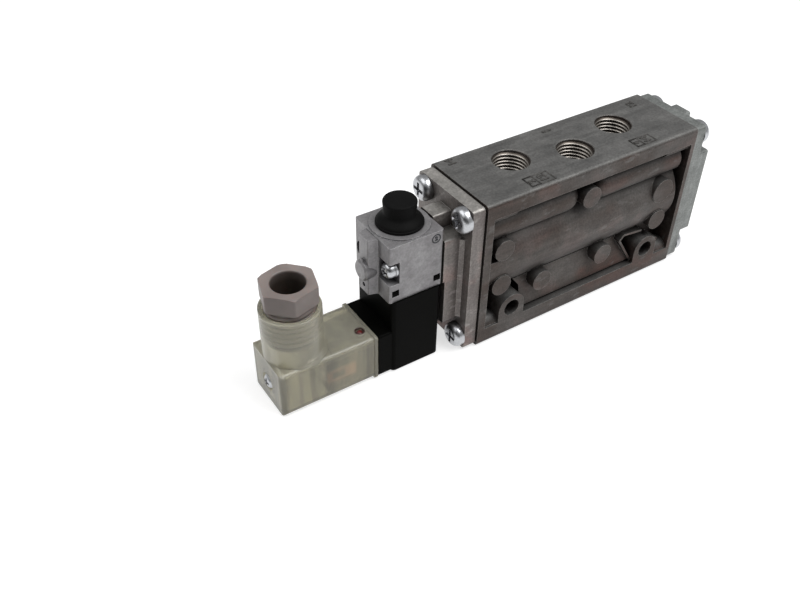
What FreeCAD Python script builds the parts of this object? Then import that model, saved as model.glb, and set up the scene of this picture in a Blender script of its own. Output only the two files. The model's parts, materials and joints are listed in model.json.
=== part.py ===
import FreeCAD, Part
import math
import os

# Pilot-operated five-port spool valve with one solenoid and a cable plug, in millimetres.
# X runs along the spool, away from the pilot; Z is up; the origin is the centre of the foot face.

Vector = FreeCAD.Vector

# Body casting
BODY_LENGTH = 94.0
BODY_WIDTH = 31.8
BODY_HEIGHT = 59.0
BODY_EDGE = 1.5
AXIS_HEIGHT = 31.2
LEFT_FLANGE = 3.0
RIGHT_FLANGE = 1.8
FOOT_RAIL = 6.8
TOP_RAIL = 6.0
RAIL_SLOT = 0.9
RAIL_SLOT_DEPTH = 4.1
BARREL_INSET = 0.3
BARREL_END_GAP = 2.3
END_GAP_FLOOR = 10.2
GROOVE_FLOOR = 10.6
GROOVE_FILLET = 2.0
DUCT_RADIUS = 5.5
DUCT_Y = 9.2
DUCT_HEIGHT = 46.5
DUCT_LEFT_END = -4.0
DUCT_RIGHT_START = 2.6
VALLEY_DROP = 11.2
VALLEY_FLOOR = 11.3
FOOT_FLOOR = 13.6
POCKET_FLOOR = 7.5
POCKET_TOP_DROP = 10.6
LEFT_POCKET_FLOOR = 11.0
LEFT_POCKET_LENGTH = 7.8
LEFT_POCKET_LOW = 3.4
LEFT_POCKET_HIGH = 10.0
PAD_INSET = 0.1
PAD_RADIUS = 4.0
LARGE_PAD_RADIUS = 4.8
LEFT_PAD_X = 8.8
LOW_PAD_X = 27.6
HIGH_PAD_X = 45.8
FAR_PAD_X = 37.5
RIGHT_PAD_X = 11.4
UPPER_PAD_RISE = 7.3
LOWER_PAD_DROP = 7.4
LOW_PAD_DROP = 13.2
HIGH_PAD_RISE = 15.3
LARGE_PAD_RISE = 5.2
LIP_WIDTH = 0.8
LIP_HEIGHT = 0.7
LIP_TOP_X = 2.3
LIP_BEND_X = 11.3
LIP_TURN_X = 13.3
LIP_FOOT_X = 5.1
LIP_TOP_Z = 8.5
LIP_BEND_Z = 9.6
LIP_TURN_Z = 7.6
PIN_MARK_RADIUS = 0.8
PIN_MARK_X = 8.1
PIN_MARK_FLOOR = 13.4

# Mounting eyes
EYE_SPACING = 65.0
EYE_HEIGHT = 11.5
EYE_RADIUS = 5.6
EYE_HOLE_RADIUS = 3.25
EYE_POCKET = 2.6
EYE_POCKET_DROP = 4.0

# Threaded ports, G 1/4
PORT_PITCH = 23.3
PORT_OFFSET = 3.0
PORT_RADIUS = 6.58
PORT_RIM_RADIUS = 6.85
PORT_DEPTH = 12.0
PORT_DRILL_RADIUS = 4.5
PORT_CONE = 2.0

# Sleeve, spool and pilot piston
SLEEVE_RADIUS = 8.0
SLEEVE_INSET = 11.0
SLEEVE_CLEARANCE = 0.02
SPOOL_RADIUS = 5.5
SPOOL_CLEARANCE = 0.03
SPOOL_NECK_RADIUS = 3.6
SPOOL_TAIL = 1.2
SPOOL_CHAMFER = 0.3
SPOOL_STROKE = 3.0
SPOOL_OVERLAP = 1.7
SPOOL_OPENING = 0.8
WINDOW_WIDTH = 7.0
WINDOW_DEPTH = 0.8
WINDOW_HOLE_RADIUS = 1.5
WINDOW_HOLES = 6
SEAL_WIDTH = 2.0
SEAL_DEPTH = 1.1
SEAL_SLACK = 0.01
PISTON_BORE_RADIUS = 10.0
PISTON_BORE_RELIEF = 1.2
PISTON_CLEARANCE = 0.1
PISTON_THICKNESS = 5.0
PISTON_GAP = 0.3
SPRING_BORE_RADIUS = 8.6
SPRING_BORE_DEPTH = 9.0
SPRING_SEAT_RADIUS = 7.4
SPRING_SEAT_THICKNESS = 1.6
SPRING_SEAT_HUB = 2.0
SPRING_SEAT_GAP = 0.3
SPRING_POCKET_GAP = 0.6
SPRING_POCKET_ROOF = 2.0
RETURN_SPRING_RADIUS = 5.6
RETURN_WIRE_RADIUS = 0.6
RETURN_TURNS = 4.0

# End plates and their screws
GASKET = 0.5
GASKET_INSET = 0.2
PLATE_INSET = 0.7
PLATE = 4.7
PLATE_CORNER = 1.5
PLATE_EDGE = 0.8
PAD_DEPTH = 4.4
PAD_HALF_HEIGHT = 17.5
RIB_HALF_WIDTH = 3.6
COVER_RIB_HALF_WIDTH = 3.8
COVER_RIB_STEP = 0.4
ADAPTER_DEPTH = 7.1
ADAPTER_MARGIN = 0.1
ADAPTER_SKIRT = 1.2
ADAPTER_STEP = 0.8
SCREW_SIDE = 4.9
SCREW_MARGIN = 5.3
SCREW_RADIUS = 2.5
SCREW_HEAD_RADIUS = 4.5
SCREW_HEAD = 3.3
SCREW_LENGTH = 16.0
SCREW_CLEARANCE = 0.25
TAP_CLEARANCE = 0.05
TAP_RELIEF = 1.0
HEAD_ROUND = 0.62
CROSS_REACH = 0.6
CROSS_TIP = 0.3
BOSS_RADIUS = 4.4
BOSS_LENGTH = 13.0
SLOT_WIDTH = 1.2
SLOT_DEPTH = 1.5

# Pilot block
BLOCK_TOP_DROP = 6.2
BLOCK_WIDTH = 20.8
BLOCK_LENGTH = 20.4
BLOCK_HEIGHT = 22.4
BLOCK_CORNER = 0.8
PILOT_AXIS = 10.05
RING_RADIUS = 9.9
RING_HEIGHT = 0.5
BACK_RIB_DEPTH = 3.2
BACK_RIB_ROOT = 3.7
BACK_RIB_TIP = 2.7
BACK_RIB_DROP = 0.9
BACK_RIB_EDGE = 0.5
BACK_RIB_FILLET = 0.8
BACK_BOSS_RADIUS = 3.65
BACK_BOSS_REACH = 4.6
BACK_BOSS_DROP = 13.6
BACK_BOSS_EDGE = 0.6
PIP_RADIUS = 0.9
VENT_RADIUS = 0.8
NOTCH_DEPTH = 3.8
NOTCH_BOTTOM = 7.1
NOTCH_TOP = 15.4
WINDOW_BOTTOM = 2.1
WINDOW_TOP = 4.6
HOOK_SPACING = 16.0
HOOK_WIDTH = 2.5
HOOK_THICKNESS = 1.5
HOOK_SKIN = 0.8
HOOK_CLEARANCE = 0.1
HOOK_ROOT = 1.0
BARB_INSET = 0.25
BARB_LAND = 0.7
PILOT_SCREW_OFFSET = 7.2
PILOT_SCREW_HEIGHT = 11.2
PILOT_SCREW_RADIUS = 1.5
PILOT_HEAD_RADIUS = 2.75
PILOT_HEAD = 2.9
PILOT_SLOT_WIDTH = 0.8
PILOT_SLOT_DEPTH = 1.3
PILOT_THREAD = 5.5
PILOT_CLEARANCE = 0.15
SPRING_WASHER = 1.0
SPRING_WASHER_RADIUS = 2.95
SPRING_WASHER_SPLIT = 0.5
WASHER_CLEARANCE = 0.1
FAR_SCREW_INSET = 0.8
WELL_CLEARANCE = 0.15
CHANNEL_RADIUS = 0.8
SUPPLY_RISE = 12.6
SUPPLY_BODY_Y = -7.0
SUPPLY_BODY_Z = 44.2

# Override cap and pin
CAP_BASE_RADIUS = 7.9
CAP_BASE_HEIGHT = 0.9
CAP_WAIST_RADIUS = 5.25
CAP_WAIST_HEIGHT = 3.9
CAP_FLARE = 0.35
CAP_TOP_RADIUS = 5.6
CAP_HEIGHT = 8.8
CAP_EDGE = 0.9
CAP_DOME = 0.25
CAP_FIT = 0.05
CAP_WALL = 1.4
CAP_RIM_DEPTH = 2.4
CAP_CAVITY_RADIUS = 5.0
CAP_CAVITY_DEPTH = 4.4
CAP_GAP = 0.1
PIN_TRAVEL = 1.2
PIN_RADIUS = 2.0
PIN_CLEARANCE = 0.05
PIN_HEAD_RADIUS = 3.6
PIN_HEAD = 3.0
PIN_TIP_RADIUS = 0.6
PIN_SHOULDER_GAP = 0.3
PIN_SEAL_WIRE = 0.42
PIN_SEAL_GAP = 0.04
PIN_GROOVE = 1.2

# Core tube, armature and nozzle
TUBE_RADIUS = 4.5
TUBE_WALL = 0.4
TUBE_FLANGE_RADIUS = 6.4
TUBE_FLANGE = 1.2
TUBE_FIT = 0.05
TUBE_FLANGE_FIT = 0.1
CORE_FIT = 0.02
FIXED_CORE = 10.0
ARMATURE_CLEARANCE = 0.08
ARMATURE_STROKE = 1.2
ARMATURE_LIFT = 0.6
ARMATURE_SEAL_RADIUS = 1.9
ARMATURE_SEAL = 1.6
ARMATURE_SEAL_PROUD = 0.35
NOZZLE_RADIUS = 1.7
NOZZLE_BORE_RADIUS = 1.0
NOZZLE_GAP = 0.05
CHAMBER_RADIUS = 4.5
CHAMBER_HEIGHT = 3.0
ARMATURE_SPRING_RADIUS = 1.7
ARMATURE_WIRE_RADIUS = 0.3
SPRING_POCKET_RADIUS = 2.3
SPRING_POCKET_LOW = 4.0
SPRING_POCKET_HIGH = 6.2
ARMATURE_TURNS = 5.0
SPRING_GAP = 0.05

# Coil
COIL_WIDTH = 22.0
COIL_LENGTH = 19.0
COIL_HEIGHT = 29.9
COIL_CORNER = 1.5
COIL_SKIN = 1.2
FRAME_SHEET = 1.6
BOBBIN_WALL = 0.7
BOBBIN_FLANGE = 1.0
BOBBIN_FLANGE_RADIUS = 8.0
WINDING_INSET = 0.5
TERMINAL_BASE = 4.85
TERMINAL_BASE_HEIGHT = 17.5
TERMINAL_BASE_EDGE = 0.8
BLADE_WIDTH = 6.3
BLADE_SHEET = 0.8
BLADE_ROOT = 3.0
BLADE_REACH = 8.2
BLADE_SPACING = 11.6
EARTH_RISE = 4.1
INSERT_RADIUS = 2.6
INSERT_MARGIN = 0.8
SCREW_SEAL_WIRE = 0.5
PLUG_GASKET_INSET = 0.3
PLUG_GASKET_CORNER = 1.0

# Plug housing
PLUG_LENGTH = 35.6
PLUG_WIDTH = 20.8
PLUG_HEIGHT = 17.7
PLUG_EDGE = 1.8
PLUG_WALL = 1.5
PLUG_END_WALL = 2.1
PLUG_FLANGE = 1.2
PLUG_FLANGE_PROUD = 0.25
PLUG_FLANGE_CORNER = 0.8
PLUG_SCREW_HEIGHT = 7.9
PLUG_SCREW_BOSS_RADIUS = 4.6
PLUG_SCREW_BOSS = 3.6
PLUG_SCREW_WELL = 3.4
PLUG_SCREW_WELL_RADIUS = 3.3
TOWER_RADIUS = 10.1
TOWER_HEIGHT = 18.3
TOWER_BORE_RADIUS = 8.7
TOWER_SEAT = 6.8
TOWER_THROAT_RADIUS = 6.5
TOWER_COLLAR_RADIUS = 10.35
TOWER_COLLAR_SHIFT = 1.4
TOWER_COLLAR = 2.4
TOWER_EDGE = 0.5
LAMP_X = 3.3
LAMP_Y = -4.4
LAMP_RADIUS = 1.5
LAMP_CLEARANCE = 0.1
LAMP_DROP = 0.1
FIT_GAP = 0.1

# Terminal block, lamp board and gland
BLOCK_DEPTH = 18.3
BLOCK_DROP = 2.2
SOCKET_WALL = 1.0
SOCKET_DEPTH = 9.6
SOCKET_END = 1.2
TERMINAL_SCREW_RADIUS = 1.3
TERMINAL_HEAD_RADIUS = 2.2
TERMINAL_HEAD = 1.4
TERMINAL_SLOT = 0.6
EARTH_HEAD_RADIUS = 1.6
BOARD_SHEET = 0.8
BOARD_STANDOFF = 0.6
BOARD_LENGTH = 15.0
BOARD_WIDTH = 15.0
BOARD_GAP = 0.4
POST_RADIUS = 0.9
POST_INSET = 1.2
FRONT_POST = 2.2
BACK_POST = 3.0
GLAND_SEAL = 3.6
GLAND_SEAL_BORE_RADIUS = 3.6
GLAND_SEAL_LIP = 0.8
GLAND_SEAL_RADIUS = 7.4
GLAND_SEAL_RIM = 0.6
GLAND_WASHER = 0.8
GLAND_GAP = 0.75
GLAND_BORE_RADIUS = 5.5
NUT_ACROSS_FLATS = 17.0
NUT_HEIGHT = 6.6
NUT_CHAMFER = 0.5
NUT_CROWN = 0.8
NUT_EDGE = 0.8
NUT_UNDERCUT = 0.4
NUT_LIFT = 2.5
NUT_CORNER = 0.8
NUT_TURN = 14.6

# Places worked out from the sizes above
PISTON_BORE_DEPTH = PISTON_GAP + PISTON_THICKNESS + SPOOL_STROKE + PISTON_BORE_RELIEF
HALF_WIDTH = BODY_WIDTH / 2
BARREL_RADIUS = HALF_WIDTH - BARREL_INSET
SCREW_Y = HALF_WIDTH - SCREW_SIDE
SLEEVE_HALF_LENGTH = BODY_LENGTH / 2 - SLEEVE_INSET
LEFT_FACE = -BODY_LENGTH / 2
RIGHT_FACE = BODY_LENGTH / 2
LEFT_PLATE_FACE = LEFT_FACE - GASKET - PLATE
RIGHT_PLATE_FACE = RIGHT_FACE + GASKET + PLATE
ADAPTER_FACE = LEFT_PLATE_FACE - ADAPTER_DEPTH
BLOCK_FACE = ADAPTER_FACE - GASKET
RECESS_LEFT = LEFT_FACE + LEFT_FLANGE
RECESS_RIGHT = RIGHT_FACE - RIGHT_FLANGE
BLOCK_BACK = BLOCK_FACE - BLOCK_LENGTH
PILOT_X = BLOCK_FACE - PILOT_AXIS
BLOCK_TOP = BODY_HEIGHT - BLOCK_TOP_DROP
BLOCK_BOTTOM = BLOCK_TOP - BLOCK_HEIGHT
COIL_BOTTOM = BLOCK_BOTTOM - COIL_HEIGHT
PILOT_SCREW_Z = BLOCK_BOTTOM + PILOT_SCREW_HEIGHT
TUBE_BOTTOM = COIL_BOTTOM + COIL_SKIN + FRAME_SHEET
TUBE_INSIDE = TUBE_RADIUS - TUBE_WALL
CORE_TOP = TUBE_BOTTOM + TUBE_WALL + FIXED_CORE
ARMATURE_BOTTOM = CORE_TOP + ARMATURE_STROKE
ARMATURE_TOP = BLOCK_BOTTOM + TUBE_FLANGE + ARMATURE_LIFT
NOZZLE_LIP = ARMATURE_TOP + ARMATURE_SEAL_PROUD + NOZZLE_GAP
CHAMBER_TOP = BLOCK_BOTTOM + TUBE_FLANGE + CHAMBER_HEIGHT
CHAMBER_MIDDLE = CHAMBER_TOP - CHAMBER_HEIGHT / 2
SUPPLY_Z = BLOCK_BOTTOM + SUPPLY_RISE
PIN_BORE_BOTTOM = SUPPLY_Z + CHANNEL_RADIUS / 2
CAVITY_FLOOR = BLOCK_TOP - CAP_CAVITY_DEPTH
COIL_BACK = PILOT_X - COIL_LENGTH / 2
BASE_FACE = COIL_BACK - TERMINAL_BASE
PLUG_FACE = BASE_FACE - GASKET
PLUG_BACK = PLUG_FACE - PLUG_LENGTH
PLUG_TOP = COIL_BOTTOM + PLUG_HEIGHT
PLUG_ROOF = PLUG_TOP - PLUG_WALL
PLUG_FLOOR = COIL_BOTTOM + PLUG_WALL
SCREW_Z = COIL_BOTTOM + PLUG_SCREW_HEIGHT
TOWER_X = PLUG_BACK + TOWER_RADIUS
TOWER_TOP = PLUG_TOP + TOWER_HEIGHT
SEAT_Z = PLUG_TOP + TOWER_SEAT
TERMINAL_BLOCK_TOP = PLUG_ROOF - BLOCK_DROP
BOARD_BOTTOM = TERMINAL_BLOCK_TOP + BOARD_STANDOFF
GROOVE_TOP = BODY_HEIGHT - TOP_RAIL
VALLEY = AXIS_HEIGHT - VALLEY_DROP
POCKET_TOP = AXIS_HEIGHT - POCKET_TOP_DROP


def spot(axis, at, a, b):
    """The point (a, b) of the plane that cuts the axis at the value given."""
    if axis == "X":
        return Vector(at, a, b)
    if axis == "Y":
        return Vector(a, at, b)
    return Vector(a, b, at)


def along(axis, length):
    """A vector of the length given along one axis."""
    return {"X": Vector(length, 0, 0), "Y": Vector(0, length, 0), "Z": Vector(0, 0, length)}[axis]


def rounded_wire(corners, radii, axis, at):
    """A closed outline through the corners, each one rounded by its own radius."""
    edges = []
    marks = []
    count = len(corners)
    for i, (a, b) in enumerate(corners):
        before = corners[i - 1]
        after = corners[(i + 1) % count]
        radius = radii[i]
        if radius <= 0:
            marks.append(((a, b), None, (a, b)))
            continue
        back = (before[0] - a, before[1] - b)
        ahead = (after[0] - a, after[1] - b)
        back_length = math.hypot(*back)
        ahead_length = math.hypot(*ahead)
        back = (back[0] / back_length, back[1] / back_length)
        ahead = (ahead[0] / ahead_length, ahead[1] / ahead_length)
        half = math.acos(max(-1.0, min(1.0, back[0] * ahead[0] + back[1] * ahead[1]))) / 2
        reach = radius / math.tan(half)
        middle = (back[0] + ahead[0], back[1] + ahead[1])
        size = math.hypot(*middle)
        depth = radius / math.sin(half) - radius
        top = (a + middle[0] / size * depth, b + middle[1] / size * depth)
        start = (a + back[0] * reach, b + back[1] * reach)
        end = (a + ahead[0] * reach, b + ahead[1] * reach)
        marks.append((start, top, end))
    for i, (start, top, end) in enumerate(marks):
        if top is not None:
            arc = Part.Arc(spot(axis, at, *start), spot(axis, at, *top), spot(axis, at, *end))
            edges.append(arc.toShape())
        following = marks[(i + 1) % count][0]
        if math.hypot(following[0] - end[0], following[1] - end[1]) > 1e-6:
            edges.append(Part.makeLine(spot(axis, at, *end), spot(axis, at, *following)))
    return Part.Wire(edges)


def prism(corners, axis, low, high, radius=0.0):
    """A straight prism along an axis on an outline with rounded corners."""
    radii = radius if isinstance(radius, (list, tuple)) else [radius] * len(corners)
    face = Part.Face(rounded_wire(corners, radii, axis, low))
    return face.extrude(along(axis, high - low))


def block(x0, x1, y0, y1, z0, z1):
    """A box between two corners."""
    return Part.makeBox(x1 - x0, y1 - y0, z1 - z0, Vector(x0, y0, z0))


def rounded_block(axis, low, high, a0, a1, b0, b1, radius):
    """A box whose four edges along the axis are rounded."""
    return prism([(a0, b0), (a1, b0), (a1, b1), (a0, b1)], axis, low, high, radius)


def rod(axis, a, b, radius, low, high):
    """A cylinder along an axis through the point (a, b) of the plane across it."""
    return Part.makeCylinder(radius, high - low, spot(axis, low, a, b), along(axis, 1))


def cone(axis, a, b, low_radius, high_radius, low, high):
    """A cone frustum along an axis."""
    return Part.makeCone(low_radius, high_radius, high - low, spot(axis, low, a, b), along(axis, 1))


def ring(axis, a, b, outer, inner, low, high):
    """A flat ring along an axis."""
    return rod(axis, a, b, outer, low, high).cut(rod(axis, a, b, inner, low, high))


def loop(axis, a, b, at, radius, wire):
    """A round seal ring that lies across an axis."""
    return Part.makeTorus(radius, wire, spot(axis, at, a, b), along(axis, 1))


def turned(points, centre):
    """A solid turned about an upright axis: (r, h) ends a straight line, (r, h, middle) an arc."""
    edges = []
    for before, after in zip(points, points[1:] + points[:1]):
        start = Vector(before[0], 0, before[1])
        end = Vector(after[0], 0, after[1])
        if len(after) > 2:
            edges.append(Part.Arc(start, Vector(after[2][0], 0, after[2][1]), end).toShape())
        else:
            edges.append(Part.makeLine(start, end))
    solid = Part.Face(Part.Wire(edges)).revolve(Vector(0, 0, 0), Vector(0, 0, 1), 360)
    solid.translate(centre)
    return solid


def join(first, *others):
    """One solid from several that touch or overlap."""
    return first.multiFuse(list(others)).removeSplitter()


def spring(axis, a, b, low, high, radius, wire, turns):
    """A helical spring that fills the room between its two seats but for a small gap."""
    height = high - low - 2 * wire - 2 * SPRING_GAP
    helix = Part.makeHelix(height / turns, height, radius)
    section = Part.Wire(Part.makeCircle(wire, Vector(radius, 0, 0), Vector(0, 1, 0)))
    coil = Part.Wire(helix).makePipeShell([section], True, False)
    if axis == "X":
        coil.rotate(Vector(0, 0, 0), Vector(0, 1, 0), 90)
    coil.translate(spot(axis, low + wire + SPRING_GAP, a, b))
    return coil


def round_edge(radius, height, edge, way=1):
    """The end of a quarter-round edge from (radius, height - edge), inward for way 1, outward for -1."""
    bulge = edge * (1 - math.sqrt(0.5))
    return radius - way * edge, height, (radius - way * bulge, height - bulge)


def both_sides(shape):
    """The shape and its mirror image across the valve's middle plane."""
    return [shape, shape.mirror(Vector(0, 0, 0), Vector(0, 1, 0))]


def side_outline():
    """The recess in the body's flank, as a cut across X: duct groove, valley, sloped foot and slot."""
    outside = -HALF_WIDTH - 1.0
    slot_top = FOOT_RAIL + RAIL_SLOT
    slot_end = -HALF_WIDTH + RAIL_SLOT_DEPTH
    return [(outside, GROOVE_TOP), (-GROOVE_FLOOR, GROOVE_TOP), (-GROOVE_FLOOR, VALLEY),
            (-VALLEY_FLOOR, VALLEY), (-FOOT_FLOOR, slot_top), (slot_end, slot_top),
            (slot_end, FOOT_RAIL), (outside, FOOT_RAIL)]


def ducts():
    """The two round-backed air ducts above the barrel, each with a ball-shaped end at the middle pad."""
    shapes = []
    ends = ((RECESS_LEFT - 1, DUCT_LEFT_END - DUCT_RADIUS, 1),
            (DUCT_RIGHT_START + DUCT_RADIUS, RECESS_RIGHT - BARREL_END_GAP, 0))
    for low, high, ball in ends:
        shapes.append(rod("X", -DUCT_Y, DUCT_HEIGHT, DUCT_RADIUS, low, high))
        centre = Vector(high if ball else low, -DUCT_Y, DUCT_HEIGHT)
        shapes.append(Part.makeSphere(DUCT_RADIUS, centre))
    return shapes


def flank_recess():
    """The material that the casting lacks along one flank, between the two end flanges."""
    corners = side_outline()
    radii = [0.0] * len(corners)
    radii[1] = GROOVE_FILLET
    recess = prism(corners, "X", RECESS_LEFT, RECESS_RIGHT, radii)
    gap = RECESS_RIGHT - BARREL_END_GAP
    recess = recess.cut(rod("X", 0, AXIS_HEIGHT, BARREL_RADIUS, RECESS_LEFT, gap))
    for duct in ducts():
        recess = recess.cut(duct)
    outside = -HALF_WIDTH - 1
    recess = recess.fuse(block(gap, RECESS_RIGHT, outside, -END_GAP_FLOOR, FOOT_RAIL, GROOVE_TOP))
    for corners, floor in pocket_outlines():
        recess = recess.fuse(prism(corners, "Y", outside, -floor))
    return recess


def lip_line():
    """The line of the thin lip between the foot slope and the pocket of the right eye."""
    x = EYE_SPACING / 2
    z = EYE_HEIGHT
    return [(x - LIP_TOP_X, z + LIP_TOP_Z), (x - LIP_BEND_X, z + LIP_BEND_Z),
            (x - LIP_TURN_X, z + LIP_TURN_Z), (x - LIP_FOOT_X, FOOT_RAIL)]


def pocket_outlines():
    """The deep pockets about the eyes and the shallow one at the barrel's left end, with their floors."""
    eye = EYE_SPACING / 2
    bend, turn, foot = lip_line()[1:]
    right = [(RECESS_RIGHT, FOOT_RAIL), foot, turn, (bend[0], POCKET_TOP), (RECESS_RIGHT, POCKET_TOP)]
    side = -eye + EYE_RADIUS
    left = [(RECESS_LEFT, FOOT_RAIL), (RECESS_LEFT, POCKET_TOP), (-eye + EYE_POCKET, POCKET_TOP),
            (side, POCKET_TOP - EYE_POCKET_DROP), (side, FOOT_RAIL)]
    z0 = AXIS_HEIGHT + LEFT_POCKET_LOW
    z1 = AXIS_HEIGHT + LEFT_POCKET_HIGH
    end = RECESS_LEFT + LEFT_POCKET_LENGTH
    shallow = [(RECESS_LEFT, z0), (end, z0), (end, z1), (RECESS_LEFT, z1)]
    return [(right, POCKET_FLOOR), (left, POCKET_FLOOR), (shallow, LEFT_POCKET_FLOOR)]


def lip():
    """The thin raised lip, as short walls end to end with round bends."""
    line = lip_line()
    crest = -FOOT_FLOOR - LIP_HEIGHT
    walls = [rod("Y", x, z, LIP_WIDTH / 2, crest, -POCKET_FLOOR) for x, z in line[1:3]]
    for (x0, z0), (x1, z1) in zip(line, line[1:]):
        length = math.hypot(x1 - x0, z1 - z0)
        wall = Part.makeBox(length, -POCKET_FLOOR - crest, LIP_WIDTH)
        wall.translate(Vector(0, 0, -LIP_WIDTH / 2))
        wall.rotate(Vector(0, 0, 0), Vector(0, 1, 0), -math.degrees(math.atan2(z1 - z0, x1 - x0)))
        wall.translate(Vector(x0, crest, z0))
        walls.append(wall)
    return walls


def pad_places():
    """The round core pads: x, z and radius."""
    left = LEFT_FACE + LEFT_PAD_X
    right = RIGHT_FACE - RIGHT_PAD_X
    low = AXIS_HEIGHT - LOW_PAD_DROP
    return [(left, AXIS_HEIGHT + UPPER_PAD_RISE, PAD_RADIUS),
            (left, AXIS_HEIGHT - LOWER_PAD_DROP, PAD_RADIUS),
            (LEFT_FACE + LOW_PAD_X, low, PAD_RADIUS),
            (RIGHT_FACE - FAR_PAD_X, low, PAD_RADIUS),
            (LEFT_FACE + HIGH_PAD_X, AXIS_HEIGHT + HIGH_PAD_RISE, PAD_RADIUS),
            (right, AXIS_HEIGHT + LARGE_PAD_RISE, LARGE_PAD_RADIUS),
            (right, AXIS_HEIGHT - LOWER_PAD_DROP, PAD_RADIUS)]


def flank_features():
    """Core pads, mounting eyes, screw bosses, lip and pin mark that stand in one flank's recess."""
    face = -HALF_WIDTH + PAD_INSET
    inner = -POCKET_FLOOR / 2
    features = [rod("Y", x, z, radius, face, inner) for x, z, radius in pad_places()]
    for x in (-EYE_SPACING / 2, EYE_SPACING / 2):
        features.append(rod("Y", x, EYE_HEIGHT, EYE_RADIUS, -HALF_WIDTH, 0))
        features.append(block(x - EYE_RADIUS, x + EYE_RADIUS, -HALF_WIDTH, 0, FOOT_RAIL - 1, EYE_HEIGHT))
    y = -SCREW_Y
    for z in (SCREW_MARGIN, BODY_HEIGHT - SCREW_MARGIN):
        features.append(rod("X", y, z, BOSS_RADIUS, LEFT_FACE, LEFT_FACE + BOSS_LENGTH))
        features.append(rod("X", y, z, BOSS_RADIUS, RIGHT_FACE - BOSS_LENGTH, RIGHT_FACE))
    mark = EYE_SPACING / 2 + PIN_MARK_X
    features.append(rod("Y", mark, EYE_HEIGHT, PIN_MARK_RADIUS, -PIN_MARK_FLOOR, inner))
    features.extend(lip())
    return features


def port(x, y, top):
    """One threaded port with its rim, cone and drilling down or up to the sleeve."""
    if top:
        mouth, sign = BODY_HEIGHT, -1
    else:
        mouth, sign = 0.0, 1
    end = mouth + sign * PORT_DEPTH
    tip = end + sign * PORT_CONE
    rim = mouth + sign * (PORT_RIM_RADIUS - PORT_RADIUS)
    low, high = min(mouth, end), max(mouth, end)
    bore = rod("Z", x, y, PORT_RADIUS, low, high)
    if top:
        cup = cone("Z", x, y, PORT_DRILL_RADIUS, PORT_RADIUS, tip, end)
        edge = cone("Z", x, y, PORT_RADIUS, PORT_RIM_RADIUS, rim, mouth)
        drill = rod("Z", x, y, PORT_DRILL_RADIUS, AXIS_HEIGHT, tip)
    else:
        cup = cone("Z", x, y, PORT_RADIUS, PORT_DRILL_RADIUS, end, tip)
        edge = cone("Z", x, y, PORT_RIM_RADIUS, PORT_RADIUS, mouth, rim)
        drill = rod("Z", x, y, PORT_DRILL_RADIUS, tip, AXIS_HEIGHT)
    return [bore, cup, edge, drill]


def port_places():
    """The ports: x, y and whether the port is on top."""
    return [(-PORT_PITCH, PORT_OFFSET, True), (0.0, -PORT_OFFSET, True), (PORT_PITCH, PORT_OFFSET, True),
            (-PORT_PITCH / 2, 0.0, False), (PORT_PITCH / 2, 0.0, False)]


def screw_places():
    """The four screws of an end plate, in the YZ plane."""
    heights = (SCREW_MARGIN, BODY_HEIGHT - SCREW_MARGIN)
    return [(y, z) for y in (-SCREW_Y, SCREW_Y) for z in heights]


def drilling(start, end):
    """A slanted channel between two points, as one cylinder."""
    path = end.sub(start)
    return Part.makeCylinder(CHANNEL_RADIUS, path.Length, start, path)


def make_valve_body():
    """The die-cast body with its flanks, ports, spool bore and mounting eyes."""
    half = HALF_WIDTH
    shape = rounded_block("X", LEFT_FACE, RIGHT_FACE, -half, half, 0, BODY_HEIGHT, BODY_EDGE)
    recess = flank_recess()
    for feature in flank_features():
        recess = recess.cut(feature)
    for side in both_sides(recess):
        shape = shape.cut(side)
    cuts = [rod("X", 0, AXIS_HEIGHT, SLEEVE_RADIUS, LEFT_FACE, RIGHT_FACE)]
    cuts.append(rod("X", 0, AXIS_HEIGHT, PISTON_BORE_RADIUS, LEFT_FACE, LEFT_FACE + PISTON_BORE_DEPTH))
    cuts.append(rod("X", 0, AXIS_HEIGHT, SPRING_BORE_RADIUS, RIGHT_FACE - SPRING_BORE_DEPTH, RIGHT_FACE))
    for x, y, top in port_places():
        cuts.extend(port(x, y, top))
    for x in (-EYE_SPACING / 2, EYE_SPACING / 2):
        cuts.append(rod("Y", x, EYE_HEIGHT, EYE_HOLE_RADIUS, -HALF_WIDTH, HALF_WIDTH))
    grip = SCREW_LENGTH - PLATE - GASKET + TAP_RELIEF
    hole = SCREW_RADIUS + TAP_CLEARANCE
    for y, z in screw_places():
        cuts.append(rod("X", y, z, hole, LEFT_FACE, LEFT_FACE + grip))
        cuts.append(rod("X", y, z, hole, RIGHT_FACE - grip, RIGHT_FACE))
    cuts.append(rod("X", SUPPLY_BODY_Y, SUPPLY_BODY_Z, CHANNEL_RADIUS, LEFT_FACE, -PORT_OFFSET))
    return shape.cut(Part.makeCompound(cuts)).removeSplitter()


def seal_groove(radius, x):
    """The groove for an O-ring round a piece of the radius given on the spool's axis."""
    half = SEAL_WIDTH / 2
    return ring("X", 0, AXIS_HEIGHT, radius + 1, radius - SEAL_DEPTH, x - half, x + half)


def window_places():
    """The middles of the sleeve's port windows along X."""
    return [i * PORT_PITCH / 2 for i in range(-2, 3)]


def seal_places():
    """The middles of the sleeve's seal grooves, one outside each window."""
    step = PORT_PITCH / 2
    return [(i - 0.5) * step for i in range(-2, 4)]


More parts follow.
